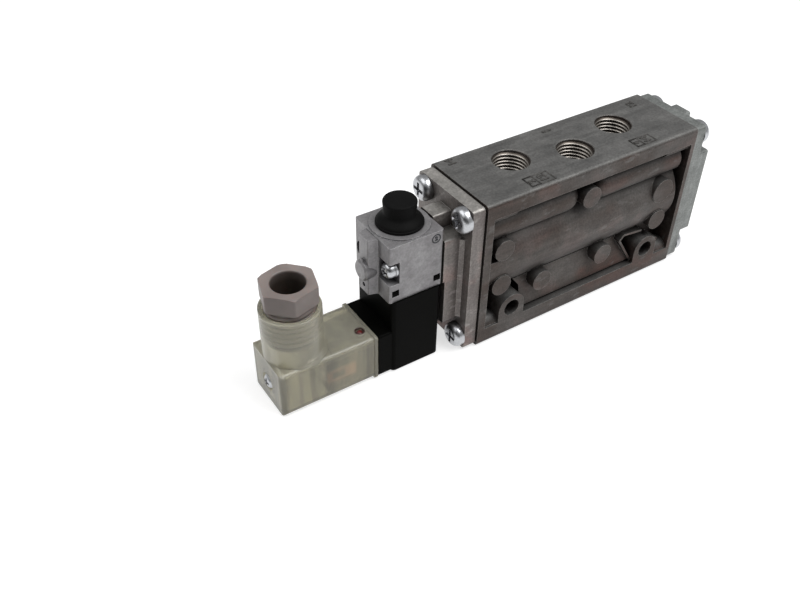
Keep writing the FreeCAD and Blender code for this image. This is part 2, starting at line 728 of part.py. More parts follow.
def make_spool_sleeve():
    """The ported sleeve: windows inside and out, radial holes and seal grooves."""
    radius = SLEEVE_RADIUS - SLEEVE_CLEARANCE
    shape = ring("X", 0, AXIS_HEIGHT, radius, SPOOL_RADIUS, -SLEEVE_HALF_LENGTH, SLEEVE_HALF_LENGTH)
    half = WINDOW_WIDTH / 2
    for x in window_places():
        low, high = x - half, x + half
        shape = shape.cut(ring("X", 0, AXIS_HEIGHT, radius + 1, radius - WINDOW_DEPTH, low, high))
        shape = shape.cut(rod("X", 0, AXIS_HEIGHT, SPOOL_RADIUS + WINDOW_DEPTH / 2, low, high))
        for k in range(WINDOW_HOLES):
            turn = 360.0 * k / WINDOW_HOLES
            hole = rod("Z", x, 0, WINDOW_HOLE_RADIUS, AXIS_HEIGHT, AXIS_HEIGHT + SLEEVE_RADIUS + 1)
            hole.rotate(Vector(x, 0, AXIS_HEIGHT), Vector(1, 0, 0), turn)
            shape = shape.cut(hole)
    for x in seal_places():
        shape = shape.cut(seal_groove(radius, x))
    return shape


def make_sleeve_seals():
    """The O-rings in the sleeve's grooves."""
    wire = SEAL_DEPTH / 2
    middle = SLEEVE_RADIUS - SLEEVE_CLEARANCE - wire
    rings = [loop("X", 0, AXIS_HEIGHT, x, middle, wire - SEAL_SLACK) for x in seal_places()]
    return Part.makeCompound(rings)


def spool_lands():
    """The spool's four lands at rest, as (low, high) along X."""
    half = WINDOW_WIDTH / 2
    step = PORT_PITCH / 2
    land_low = -step - half - SPOOL_OVERLAP
    land_high = -step + half - SPOOL_OPENING
    left_edge = -2 * step - half - SPOOL_OPENING
    right_edge = 2 * step + half + SPOOL_OPENING
    return [(-SLEEVE_HALF_LENGTH, left_edge), (land_low, land_high),
            (land_low + 2 * step, land_high + 2 * step), (right_edge, SLEEVE_HALF_LENGTH)]


def make_spool():
    """The spool: lands that close the sleeve's bore, with slim necks between them."""
    radius = SPOOL_RADIUS - SPOOL_CLEARANCE
    low = LEFT_FACE + PISTON_GAP + PISTON_THICKNESS
    high = SLEEVE_HALF_LENGTH + SPRING_SEAT_THICKNESS + SPOOL_TAIL
    edge = SPOOL_CHAMFER
    pieces = [rod("X", 0, AXIS_HEIGHT, SPOOL_NECK_RADIUS, low, high)]
    for start, end in spool_lands():
        pieces.append(rod("X", 0, AXIS_HEIGHT, radius, start + edge, end - edge))
        pieces.append(cone("X", 0, AXIS_HEIGHT, radius - edge, radius, start, start + edge))
        pieces.append(cone("X", 0, AXIS_HEIGHT, radius, radius - edge, end - edge, end))
    return join(*pieces)


def make_pilot_piston():
    """The pilot piston with its seal groove; it pushes on the spool's end."""
    radius = PISTON_BORE_RADIUS - PISTON_CLEARANCE
    low = LEFT_FACE + PISTON_GAP
    shape = rod("X", 0, AXIS_HEIGHT, radius, low, low + PISTON_THICKNESS)
    return shape.cut(seal_groove(radius, low + PISTON_THICKNESS / 2))


def make_piston_seal():
    """The O-ring in the piston's groove."""
    wire = SEAL_DEPTH / 2
    middle = LEFT_FACE + PISTON_GAP + PISTON_THICKNESS / 2
    radius = PISTON_BORE_RADIUS - PISTON_CLEARANCE - wire
    return loop("X", 0, AXIS_HEIGHT, middle, radius + PISTON_CLEARANCE / 2, wire)


def make_spring_seat():
    """The dished washer on the spool's far end that carries the return spring."""
    low = SLEEVE_HALF_LENGTH
    high = low + SPRING_SEAT_THICKNESS + SPRING_SEAT_HUB
    hub = RETURN_SPRING_RADIUS - RETURN_WIRE_RADIUS - SPRING_SEAT_GAP
    seat = rod("X", 0, AXIS_HEIGHT, SPRING_SEAT_RADIUS, low, low + SPRING_SEAT_THICKNESS)
    seat = seat.fuse(rod("X", 0, AXIS_HEIGHT, hub, low, high))
    return seat.cut(rod("X", 0, AXIS_HEIGHT, SPOOL_NECK_RADIUS, low, high)).removeSplitter()


def spring_pocket_end():
    """Where the return spring's pocket in the cover ends."""
    return RIGHT_PLATE_FACE + PAD_DEPTH - SPRING_POCKET_ROOF


def make_return_spring():
    """The return spring between the seat and the cover."""
    low = SLEEVE_HALF_LENGTH + SPRING_SEAT_THICKNESS
    high = spring_pocket_end()
    return spring("X", 0, AXIS_HEIGHT, low, high, RETURN_SPRING_RADIUS, RETURN_WIRE_RADIUS, RETURN_TURNS)


def plate_outline(low, high, inset):
    """A plate of the body's outline, drawn in all round."""
    return rounded_block("X", low, high, -HALF_WIDTH + inset, HALF_WIDTH - inset, inset,
                         BODY_HEIGHT - inset, PLATE_CORNER)


def end_gasket(low, bore_radius):
    """A thin gasket with the holes of the four screws and of the chamber."""
    shape = plate_outline(low, low + GASKET, PLATE_INSET + GASKET_INSET)
    for y, z in screw_places():
        shape = shape.cut(rod("X", y, z, SCREW_RADIUS + SCREW_CLEARANCE, low, low + GASKET))
    return shape.cut(rod("X", 0, AXIS_HEIGHT, bore_radius, low, low + GASKET))


def make_pilot_end_gasket():
    """The gasket under the pilot end plate, open for the supply channel too."""
    low = LEFT_FACE - GASKET
    shape = end_gasket(low, PISTON_BORE_RADIUS)
    return shape.cut(rod("X", SUPPLY_BODY_Y, SUPPLY_BODY_Z, CHANNEL_RADIUS, low, LEFT_FACE))


def make_cover_gasket():
    """The gasket under the spring end cover."""
    return end_gasket(RIGHT_FACE, SPRING_BORE_RADIUS)


def pad_levels():
    """The heights between which both end plates' raised pads stand."""
    return BODY_HEIGHT / 2 - PAD_HALF_HEIGHT, BODY_HEIGHT / 2 + PAD_HALF_HEIGHT


def make_pilot_end_plate():
    """The pilot end plate with the raised adapter that the pilot is screwed to."""
    low = LEFT_PLATE_FACE
    half = BLOCK_WIDTH / 2 + ADAPTER_MARGIN
    rib_half = RIB_HALF_WIDTH
    foot = ADAPTER_SKIRT
    shape = plate_outline(low, low + PLATE, PLATE_INSET)
    pad_low, pad_high = pad_levels()
    wide = rounded_block("X", ADAPTER_FACE, low, -half, half, pad_low, pad_high, PLATE_EDGE)
    narrow = rounded_block("X", ADAPTER_FACE, low, -rib_half, rib_half, BODY_HEIGHT - BLOCK_TOP,
                           BLOCK_TOP, PLATE_EDGE)
    corners = [(low, half), (low - foot, half), (low, half + foot)]
    skirt = prism(corners, "Z", pad_low + foot, pad_high - foot)
    shape = join(shape, wide, narrow, *both_sides(skirt))
    shape = shape.cut(block(ADAPTER_FACE, ADAPTER_FACE + ADAPTER_STEP, -half, half, 0, BLOCK_BOTTOM))
    for y, z in screw_places():
        shape = shape.cut(rod("X", y, z, SCREW_RADIUS + SCREW_CLEARANCE, low, low + PLATE))
    thread_end = ADAPTER_FACE + PILOT_THREAD + TAP_RELIEF
    hole = PILOT_SCREW_RADIUS + TAP_CLEARANCE
    for y in pilot_screw_places():
        shape = shape.cut(rod("X", y, PILOT_SCREW_Z, hole, ADAPTER_FACE, thread_end))
    signal = rod("X", 0, CHAMBER_MIDDLE, CHANNEL_RADIUS, ADAPTER_FACE, low + PLATE)
    start = Vector(ADAPTER_FACE, 0, SUPPLY_Z)
    end = Vector(low + PLATE, SUPPLY_BODY_Y, SUPPLY_BODY_Z)
    return shape.cut(signal).cut(drilling(start, end)).removeSplitter()


def make_spring_end_cover():
    """The cover over the return spring: a plate with a raised pad and two short ribs."""
    low = RIGHT_FACE + GASKET
    top = RIGHT_PLATE_FACE + PAD_DEPTH
    half = HALF_WIDTH - PLATE_INSET
    rib_half = COVER_RIB_HALF_WIDTH
    margin = PLATE_INSET + PLATE_EDGE
    shape = plate_outline(low, RIGHT_PLATE_FACE, PLATE_INSET)
    wide = rounded_block("X", RIGHT_PLATE_FACE, top, -half, half, *pad_levels(), PLATE_EDGE)
    narrow = rounded_block("X", RIGHT_PLATE_FACE, top - COVER_RIB_STEP, -rib_half, rib_half, margin,
                           BODY_HEIGHT - margin, PLATE_EDGE)
    shape = join(shape, wide, narrow)
    for y, z in screw_places():
        shape = shape.cut(rod("X", y, z, SCREW_RADIUS + SCREW_CLEARANCE, low, RIGHT_PLATE_FACE))
    pocket_radius = RETURN_SPRING_RADIUS + RETURN_WIRE_RADIUS + SPRING_POCKET_GAP
    pocket = rod("X", 0, AXIS_HEIGHT, pocket_radius, low, spring_pocket_end())
    return shape.cut(pocket).removeSplitter()


def pan_screw(radius, length, head_radius, head, slot_width, slot_depth):
    """A pan-head screw with a tapered cross recess, standing on Z with its head up and seated at zero."""
    edge = head * HEAD_ROUND
    dome = [(0, 0), (head_radius, 0), (head_radius, head - edge), round_edge(head_radius, head, edge),
            (0, head)]
    shape = turned(dome, Vector(0, 0, 0)).fuse(rod("Z", 0, 0, radius, -length, 0))
    half = slot_width / 2
    reach = head_radius * CROSS_REACH
    low = head - slot_depth
    cross = block(-reach, reach, -half, half, low, head)
    cross = cross.fuse(block(-half, half, -reach, reach, low, head))
    taper = cone("Z", 0, 0, head_radius * CROSS_TIP, reach, low, head)
    return shape.cut(cross.common(taper)).removeSplitter()


def laid(screw, x, y, z, facing):
    """A screw turned so that its head faces along plus or minus X, with its seat at x."""
    copy = screw.copy()
    copy.rotate(Vector(0, 0, 0), Vector(0, 1, 0), 90 * facing)
    copy.translate(Vector(x, y, z))
    return copy


def make_plate_screws(seat, facing):
    """The four screws of one end plate."""
    screw = pan_screw(SCREW_RADIUS, SCREW_LENGTH, SCREW_HEAD_RADIUS, SCREW_HEAD, SLOT_WIDTH, SLOT_DEPTH)
    return Part.makeCompound([laid(screw, seat, y, z, facing) for y, z in screw_places()])


def make_pilot_gasket():
    """The thin gasket between the adapter and the pilot block."""
    half = BLOCK_WIDTH / 2 - GASKET_INSET
    low = BLOCK_BOTTOM + GASKET_INSET
    high = pad_levels()[1] - GASKET_INSET
    shape = block(BLOCK_FACE, ADAPTER_FACE, -half, half, low, high)
    hole = PILOT_SCREW_RADIUS + PILOT_CLEARANCE
    for y in pilot_screw_places():
        shape = shape.cut(rod("X", y, PILOT_SCREW_Z, hole, BLOCK_FACE, ADAPTER_FACE))
    for z in (SUPPLY_Z, CHAMBER_MIDDLE):
        shape = shape.cut(rod("X", 0, z, CHANNEL_RADIUS + GASKET_INSET, BLOCK_FACE, ADAPTER_FACE))
    return shape


def hook_places():
    """The four snap hooks: x and the side of the block they are on."""
    return [(PILOT_X + a * HOOK_SPACING / 2, side) for a in (-1, 1) for side in (-1, 1)]


def hook_band():
    """The inner and outer face of a hook's stem, measured from the middle plane."""
    outer = BLOCK_WIDTH / 2 - HOOK_SKIN - HOOK_CLEARANCE
    return outer - HOOK_THICKNESS, outer


def side_box(x0, x1, side, inner, outer, z0, z1):
    """A box at the distance given from the middle plane, on one side of it."""
    y0, y1 = sorted((side * inner, side * outer))
    return block(x0, x1, y0, y1, z0, z1)


def back_rib():
    """The upright rib on the pilot block's back, with filleted roots and rounded edges."""
    back = BLOCK_BACK - BACK_RIB_DEPTH
    wide = BACK_RIB_ROOT + 2 * BACK_RIB_FILLET
    inside = BLOCK_BACK + BACK_RIB_FILLET
    outline = [(inside, -wide), (BLOCK_BACK, -wide), (BLOCK_BACK, -BACK_RIB_ROOT), (back, -BACK_RIB_TIP),
               (back, BACK_RIB_TIP), (BLOCK_BACK, BACK_RIB_ROOT), (BLOCK_BACK, wide), (inside, wide)]
    radii = [0, 0, BACK_RIB_FILLET, BACK_RIB_EDGE, BACK_RIB_EDGE, BACK_RIB_FILLET, 0, 0]
    return prism(outline, "Z", BLOCK_BOTTOM, BLOCK_TOP - BACK_RIB_DROP, radii)


def block_shell():
    """The pilot block's outside: body, raised ring, back rib, boss and small pip."""
    half = BLOCK_WIDTH / 2
    edge = BACK_BOSS_EDGE
    flat = BLOCK_TOP - RING_HEIGHT
    body = rounded_block("Z", BLOCK_BOTTOM, flat, BLOCK_BACK, BLOCK_FACE, -half, half, BLOCK_CORNER)
    raised = rod("Z", PILOT_X, 0, RING_RADIUS, flat, BLOCK_TOP)
    boss_z = BLOCK_TOP - BACK_BOSS_DROP
    end = BLOCK_BACK - BACK_BOSS_REACH
    boss = rod("X", 0, boss_z, BACK_BOSS_RADIUS, end + edge, BLOCK_BACK)
    nose = cone("X", 0, boss_z, BACK_BOSS_RADIUS - edge, BACK_BOSS_RADIUS, end, end + edge)
    pip = rod("X", 0, boss_z + BACK_BOSS_RADIUS, PIP_RADIUS, end + edge, BLOCK_BACK)
    return join(body, raised, back_rib(), boss, nose, pip)


def block_pockets():
    """The pilot block's screw notch, the far screw's well, and the slots and windows of the hooks."""
    half = BLOCK_WIDTH / 2
    notch_x = BLOCK_BACK + NOTCH_DEPTH
    near_y, far_y = pilot_screw_places()
    well = SPRING_WASHER_RADIUS + WELL_CLEARANCE
    cuts = [block(BLOCK_BACK - 1, notch_x, -half - 1, near_y + well, BLOCK_BOTTOM + NOTCH_BOTTOM,
                  BLOCK_BOTTOM + NOTCH_TOP)]
    cuts.append(rod("X", far_y, PILOT_SCREW_Z, well, BLOCK_BACK - 1, notch_x))
    for y in (near_y, far_y):
        cuts.append(rod("X", y, PILOT_SCREW_Z, PILOT_SCREW_RADIUS + PILOT_CLEARANCE, notch_x, BLOCK_FACE))
    inner, outer = hook_band()
    gap = HOOK_CLEARANCE
    reach = HOOK_WIDTH / 2 + gap
    top = BLOCK_BOTTOM + WINDOW_TOP + gap
    for x, side in hook_places():
        cuts.append(side_box(x - reach, x + reach, side, inner - gap, outer + gap, BLOCK_BOTTOM, top))
        cuts.append(side_box(x - reach, x + reach, side, outer, half + 1, BLOCK_BOTTOM + WINDOW_BOTTOM, top))
    return cuts


def block_bores():
    """The pilot block's chamber with its nozzle, the pin's bore, the cap's cavity and the channels."""
    seat = BLOCK_BOTTOM + TUBE_FLANGE
    cuts = [rod("Z", PILOT_X, 0, TUBE_FLANGE_RADIUS + TUBE_FLANGE_FIT, BLOCK_BOTTOM, seat)]
    chamber = rod("Z", PILOT_X, 0, CHAMBER_RADIUS, seat, CHAMBER_TOP)
    cuts.append(chamber.cut(rod("Z", PILOT_X, 0, NOZZLE_RADIUS, NOZZLE_LIP, CHAMBER_TOP)))
    cuts.append(rod("Z", PILOT_X, 0, NOZZLE_BORE_RADIUS, NOZZLE_LIP - NOZZLE_GAP, PIN_BORE_BOTTOM))
    cuts.append(rod("Z", PILOT_X, 0, PIN_RADIUS + PIN_CLEARANCE, PIN_BORE_BOTTOM, CAVITY_FLOOR))
    groove = pin_seal_height()
    groove_radius = PIN_RADIUS + 2 * (PIN_SEAL_WIRE + PIN_SEAL_GAP)
    cuts.append(rod("Z", PILOT_X, 0, groove_radius, groove - PIN_GROOVE / 2, groove + PIN_GROOVE / 2))
    cuts.append(rod("Z", PILOT_X, 0, CAP_CAVITY_RADIUS, CAVITY_FLOOR, BLOCK_TOP))
    vent_end = BLOCK_BACK - BACK_RIB_DEPTH - 1
    inside = CHAMBER_RADIUS / 2
    cuts.append(rod("X", 0, CHAMBER_MIDDLE, CHANNEL_RADIUS, PILOT_X + inside, BLOCK_FACE))
    cuts.append(rod("X", 0, SUPPLY_Z, CHANNEL_RADIUS, PILOT_X, BLOCK_FACE))
    cuts.append(rod("X", 0, CHAMBER_MIDDLE, VENT_RADIUS, vent_end, PILOT_X - inside))
    return cuts


def make_pilot_block():
    """The zinc pilot block: nozzle, channels, pin bore, cap cavity, notch and hook windows."""
    shape = block_shell()
    for cut in block_pockets() + block_bores():
        shape = shape.cut(cut)
    return shape.removeSplitter()


def pilot_screw_places():
    """The two pilot screws: the near one in its corner notch, the far one in its well."""
    return [-PILOT_SCREW_OFFSET, PILOT_SCREW_OFFSET - FAR_SCREW_INSET]


def make_pilot_screws():
    """The two screws that hold the pilot block on its adapter."""
    seat = BLOCK_BACK + NOTCH_DEPTH - SPRING_WASHER
    length = ADAPTER_FACE + PILOT_THREAD - seat
    screw = pan_screw(PILOT_SCREW_RADIUS, length, PILOT_HEAD_RADIUS, PILOT_HEAD, PILOT_SLOT_WIDTH,
                      PILOT_SLOT_DEPTH)
    return Part.makeCompound([laid(screw, seat, y, PILOT_SCREW_Z, -1) for y in pilot_screw_places()])


def make_spring_washers():
    """The split spring washers under the pilot screws' heads."""
    high = BLOCK_BACK + NOTCH_DEPTH
    low = high - SPRING_WASHER
    outer = SPRING_WASHER_RADIUS
    inner = PILOT_SCREW_RADIUS + WASHER_CLEARANCE
    half = SPRING_WASHER_SPLIT / 2
    washers = []
    for y in pilot_screw_places():
        washer = ring("X", y, PILOT_SCREW_Z, outer, inner, low, high)
        split = block(low, high, y - half, y + half, PILOT_SCREW_Z, PILOT_SCREW_Z + outer + 1)
        washers.append(washer.cut(split))
    return Part.makeCompound(washers)


def make_override_cap():
    """The rubber cap: a flared foot, a waist and a domed head, hollow, with a rim in the block's cavity."""
    base = CAP_BASE_RADIUS
    rim = CAP_CAVITY_RADIUS - CAP_FIT
    waist = CAP_WAIST_RADIUS
    shoulder = CAP_HEIGHT - CAP_DOME
    rise = CAP_WAIST_HEIGHT - CAP_BASE_HEIGHT
    flare = (waist + (base - waist) * CAP_FLARE, CAP_BASE_HEIGHT + rise * CAP_FLARE)
    reach = CAP_TOP_RADIUS - CAP_EDGE
    sphere = (reach ** 2 + CAP_DOME ** 2) / (2 * CAP_DOME)
    crown = (reach / 2, CAP_HEIGHT - sphere + math.sqrt(sphere ** 2 - (reach / 2) ** 2))
    outside = [(rim, -CAP_RIM_DEPTH), (rim, 0), (base, 0), (base, CAP_BASE_HEIGHT),
               (waist, CAP_WAIST_HEIGHT, flare), (CAP_TOP_RADIUS, shoulder - CAP_EDGE),
               round_edge(CAP_TOP_RADIUS, shoulder, CAP_EDGE), (0, CAP_HEIGHT, crown)]
    room = waist - CAP_WALL
    inside = [(0, CAP_HEIGHT - CAP_WALL), (room, CAP_HEIGHT - CAP_WALL), (room, -CAP_RIM_DEPTH)]
    return turned(outside + inside, Vector(PILOT_X, 0, BLOCK_TOP))


def pin_seal_height():
    """The height of the override pin's O-ring."""
    return (PIN_BORE_BOTTOM + PIN_TRAVEL + PIN_SHOULDER_GAP + CAVITY_FLOOR) / 2


def make_override_pin():
    """The override pin: head under the cap, stem in the block, thin tip through the nozzle."""
    top = BLOCK_TOP + CAP_HEIGHT - CAP_WALL - CAP_GAP
    head_bottom = top - PIN_HEAD
    shoulder = PIN_BORE_BOTTOM + PIN_TRAVEL + PIN_SHOULDER_GAP
    tip = NOZZLE_LIP
    profile = [(0, tip), (PIN_TIP_RADIUS, tip), (PIN_TIP_RADIUS, shoulder), (PIN_RADIUS, shoulder),
               (PIN_RADIUS, head_bottom), (PIN_HEAD_RADIUS, head_bottom), (PIN_HEAD_RADIUS, top), (0, top)]
    return turned(profile, Vector(PILOT_X, 0, 0))


def make_pin_seal():
    """The O-ring about the override pin."""
    radius = PIN_RADIUS + PIN_SEAL_WIRE + PIN_SEAL_GAP
    return loop("Z", PILOT_X, 0, pin_seal_height(), radius, PIN_SEAL_WIRE)


def make_core_tube():
    """The thin core tube, closed below and flanged above."""
    top = BLOCK_BOTTOM + TUBE_FLANGE
    outer = rod("Z", PILOT_X, 0, TUBE_RADIUS, TUBE_BOTTOM, top)
    flange = rod("Z", PILOT_X, 0, TUBE_FLANGE_RADIUS, BLOCK_BOTTOM, top)
    inside = rod("Z", PILOT_X, 0, TUBE_INSIDE, TUBE_BOTTOM + TUBE_WALL, top)
    return outer.fuse(flange).cut(inside).removeSplitter()


def make_fixed_core():
    """The fixed core in the bottom of the tube, with the spring's lower pocket."""
    core = rod("Z", PILOT_X, 0, TUBE_INSIDE - CORE_FIT, TUBE_BOTTOM + TUBE_WALL, CORE_TOP)
    return core.cut(rod("Z", PILOT_X, 0, SPRING_POCKET_RADIUS, CORE_TOP - SPRING_POCKET_LOW, CORE_TOP))


def make_armature():
    """The armature with its seal pocket above and its spring pocket below."""
    radius = TUBE_INSIDE - ARMATURE_CLEARANCE
    shape = rod("Z", PILOT_X, 0, radius, ARMATURE_BOTTOM, ARMATURE_TOP)
    roof = ARMATURE_BOTTOM + SPRING_POCKET_HIGH
    pocket = rod("Z", PILOT_X, 0, SPRING_POCKET_RADIUS, ARMATURE_BOTTOM, roof)
    depth = ARMATURE_SEAL - ARMATURE_SEAL_PROUD
    seal = rod("Z", PILOT_X, 0, ARMATURE_SEAL_RADIUS, ARMATURE_TOP - depth, ARMATURE_TOP)
    return shape.cut(pocket).cut(seal)


def make_armature_seal():
    """The rubber disc that closes the nozzle."""
    top = ARMATURE_TOP + ARMATURE_SEAL_PROUD
    return rod("Z", PILOT_X, 0, ARMATURE_SEAL_RADIUS, top - ARMATURE_SEAL, top)


def make_armature_spring():
    """The spring between fixed core and armature."""
    low = CORE_TOP - SPRING_POCKET_LOW
    high = ARMATURE_BOTTOM + SPRING_POCKET_HIGH
    return spring("Z", PILOT_X, 0, low, high, ARMATURE_SPRING_RADIUS, ARMATURE_WIRE_RADIUS, ARMATURE_TURNS)


def frame_levels():
    """The heights of the flux frame's two sheets: lower bottom, lower top, upper bottom, upper top."""
    low = COIL_BOTTOM + COIL_SKIN
    high = BLOCK_BOTTOM - COIL_SKIN
    return low, low + FRAME_SHEET, high - FRAME_SHEET, high


def make_flux_frame():
    """The folded steel frame about the bobbin."""
    z2, z3 = frame_levels()[2:]
    return join(*frame_sheets()).cut(rod("Z", PILOT_X, 0, TUBE_RADIUS + TUBE_FIT, z2, z3))


def make_bobbin():
    """The moulded bobbin that the winding is wound on."""
    z1, z2 = frame_levels()[1:3]
    inner = TUBE_RADIUS + TUBE_FIT
    shape = rod("Z", PILOT_X, 0, inner + BOBBIN_WALL, z1, z2)
    lower = rod("Z", PILOT_X, 0, BOBBIN_FLANGE_RADIUS, z1, z1 + BOBBIN_FLANGE)
    upper = rod("Z", PILOT_X, 0, BOBBIN_FLANGE_RADIUS, z2 - BOBBIN_FLANGE, z2)
    return join(shape, lower, upper).cut(rod("Z", PILOT_X, 0, inner, z1, z2))


def make_winding():
    """The copper winding on the bobbin."""
    z1, z2 = frame_levels()[1:3]
    inner = TUBE_RADIUS + TUBE_FIT + BOBBIN_WALL
    outer = BOBBIN_FLANGE_RADIUS - WINDING_INSET
    return ring("Z", PILOT_X, 0, outer, inner, z1 + BOBBIN_FLANGE, z2 - BOBBIN_FLANGE)


def blade_places():
    """The flat terminals: y, z, half size along Y and half size along Z."""
    wide = BLADE_WIDTH / 2
    thin = BLADE_SHEET / 2
    side = BLADE_SPACING / 2
    upright = [(y, SCREW_Z, thin, wide) for y in (-side, side)]
    return upright + [(0.0, SCREW_Z + EARTH_RISE, wide, thin)]


def blade_box(place, low, high, extra):
    """A box about one terminal, larger than it by the extra on each side."""
    y, z, half_y, half_z = place
    return block(low, high, y - half_y - extra, y + half_y + extra, z - half_z - extra, z + half_z + extra)


def make_coil_terminals():
    """The three flat terminals, rooted in the coil's base."""
    low = BASE_FACE - BLADE_REACH
    return Part.makeCompound([blade_box(place, low, BASE_FACE + BLADE_ROOT, 0) for place in blade_places()])


def make_screw_insert():
    """The threaded brass insert in the coil's base that the plug's screw turns into."""
    hole = PILOT_SCREW_RADIUS + TAP_CLEARANCE
    return ring("X", 0, SCREW_Z, INSERT_RADIUS, hole, BASE_FACE, BASE_FACE + TERMINAL_BASE)


def snap_hook(x, side):
    """One snap hook: a stem from the coil's top with a barb in the block's window."""
    inner, outer = hook_band()
    half = HOOK_WIDTH / 2
    top = BLOCK_BOTTOM + WINDOW_TOP
    barb_bottom = BLOCK_BOTTOM + WINDOW_BOTTOM + HOOK_CLEARANCE
    skin = BLOCK_WIDTH / 2 - BARB_INSET
    root = BLOCK_BOTTOM - HOOK_ROOT
    points = [(inner, root), (outer, root), (outer, barb_bottom), (skin, barb_bottom),
              (skin, barb_bottom + BARB_LAND), (outer, top), (inner, top)]
    return prism([(side * y, z) for y, z in points], "X", x - half, x + half)


def frame_room():
    """The flux frame's own outside: x low and high, near y and far y."""
    half = COIL_LENGTH / 2 - COIL_SKIN
    return PILOT_X - half, PILOT_X + half, -BOBBIN_FLANGE_RADIUS, COIL_WIDTH / 2 - COIL_SKIN


def frame_sheets():
    """The flux frame's two level sheets and the wall that joins them."""
    z0, z1, z2, z3 = frame_levels()
    x0, x1, near, far = frame_room()
    return [block(x0, x1, near, far, z0, z1), block(x0, x1, near, far, z2, z3),
            block(x0, x1, far - FRAME_SHEET, far, z1, z2)]


def make_coil_body():
    """The moulded coil with its terminal base and its four snap hooks."""
    half = COIL_WIDTH / 2
    front = COIL_BACK + COIL_LENGTH
    shape = rounded_block("Z", COIL_BOTTOM, BLOCK_BOTTOM, COIL_BACK, front, -half, half, COIL_CORNER)
    half = PLUG_WIDTH / 2
    base = rounded_block("X", BASE_FACE, COIL_BACK + COIL_CORNER, -half, half, COIL_BOTTOM,
                         COIL_BOTTOM + TERMINAL_BASE_HEIGHT, TERMINAL_BASE_EDGE)
    shape = join(shape, base, *[snap_hook(x, side) for x, side in hook_places()])
    z1, z2, z3 = frame_levels()[1:]
    flange = BOBBIN_FLANGE_RADIUS
    cuts = frame_sheets()
    cuts += [rod("Z", PILOT_X, 0, flange, z1, z1 + BOBBIN_FLANGE),
             rod("Z", PILOT_X, 0, flange, z2 - BOBBIN_FLANGE, z2),
             rod("Z", PILOT_X, 0, flange - WINDING_INSET, z1, z2),
             rod("Z", PILOT_X, 0, TUBE_RADIUS + TUBE_FIT, z3, BLOCK_BOTTOM),
             rod("X", 0, SCREW_Z, INSERT_RADIUS, BASE_FACE, BASE_FACE + TERMINAL_BASE)]
    cuts += [blade_box(place, BASE_FACE, BASE_FACE + BLADE_ROOT, 0) for place in blade_places()]
    for cut in cuts:
        shape = shape.cut(cut)
    return shape.removeSplitter()


def make_plug_gasket():
    """The flat gasket between coil and plug, with holes for terminals and screw."""
    inset = PLUG_GASKET_INSET
    half = PLUG_WIDTH / 2 - inset
    shape = rounded_block("X", PLUG_FACE, BASE_FACE, -half, half, COIL_BOTTOM + inset,
                          COIL_BOTTOM + TERMINAL_BASE_HEIGHT - inset, PLUG_GASKET_CORNER)
    for place in blade_places():
        shape = shape.cut(blade_box(place, PLUG_FACE, BASE_FACE, inset))
    return shape.cut(rod("X", 0, SCREW_Z, PILOT_SCREW_RADIUS + inset, PLUG_FACE, BASE_FACE))


def plug_case():
    """The plug's case, rounded on its long edges and on its upright ones, with the flange at the coil."""
    half = PLUG_WIDTH / 2
    case = rounded_block("X", PLUG_BACK, PLUG_FACE, -half, half, COIL_BOTTOM, PLUG_TOP, PLUG_EDGE)
    beyond = PLUG_FACE + 2 * PLUG_EDGE
    case = case.common(rounded_block("Z", COIL_BOTTOM, PLUG_TOP, PLUG_BACK, beyond, -half, half, PLUG_EDGE))
    half += PLUG_FLANGE_PROUD
    flange = rounded_block("X", PLUG_FACE - PLUG_FLANGE, PLUG_FACE, -half, half,
                           COIL_BOTTOM - PLUG_FLANGE_PROUD, PLUG_TOP + PLUG_FLANGE_PROUD, PLUG_FLANGE_CORNER)
    return case.fuse(flange)


def plug_tower():
    """The cable tower and the oblique collar that leans from it toward the coil."""
    outline = [(0, PLUG_ROOF), (TOWER_RADIUS, PLUG_ROOF), (TOWER_RADIUS, TOWER_TOP - TOWER_EDGE),
               round_edge(TOWER_RADIUS, TOWER_TOP, TOWER_EDGE), (0, TOWER_TOP)]
    tower = turned(outline, Vector(TOWER_X, 0, 0))
    wires = []
    for x, z, radius in ((TOWER_X + TOWER_COLLAR_SHIFT, PLUG_TOP - PLUG_WALL / 2, TOWER_COLLAR_RADIUS),
                         (TOWER_X, PLUG_TOP + TOWER_COLLAR, TOWER_RADIUS)):
        wires.append(Part.Wire(Part.makeCircle(radius, Vector(x, 0, z))))
    return tower.fuse(Part.makeLoft(wires, True, True))


def make_plug_housing():
    """The clear plug housing: hollow case, screw boss and well, tower bore, lamp hole."""
    shape = join(plug_case(), plug_tower())
    inner = PLUG_WIDTH / 2 - PLUG_WALL
    cavity_end = PLUG_BACK + PLUG_END_WALL
    boss_end = cavity_end + PLUG_SCREW_BOSS
    hole = PILOT_SCREW_RADIUS + PILOT_CLEARANCE
    lamp = LAMP_RADIUS + LAMP_CLEARANCE
    cavity = block(cavity_end, PLUG_FACE, -inner, inner, PLUG_FLOOR, PLUG_ROOF)
    cuts = [cavity.cut(rod("X", 0, SCREW_Z, PLUG_SCREW_BOSS_RADIUS, cavity_end, boss_end)),
            rod("Z", TOWER_X, 0, TOWER_THROAT_RADIUS, PLUG_ROOF - FIT_GAP, SEAT_Z),
            rod("Z", TOWER_X, 0, TOWER_BORE_RADIUS, SEAT_Z, TOWER_TOP),
            rod("X", 0, SCREW_Z, PLUG_SCREW_WELL_RADIUS, PLUG_BACK, PLUG_BACK + PLUG_SCREW_WELL),
            rod("X", 0, SCREW_Z, hole, PLUG_BACK, boss_end),
            rod("Z", PLUG_FACE - LAMP_X, LAMP_Y, lamp, PLUG_ROOF - FIT_GAP, PLUG_TOP + PLUG_WALL)]
    for cut in cuts:
        shape = shape.cut(cut)
    return shape.removeSplitter()


def terminal_block_ends():
    """The terminal block's two ends along X, the wire screws' seat first."""
    high = PLUG_FACE - FIT_GAP
    return high - BLOCK_DEPTH, high


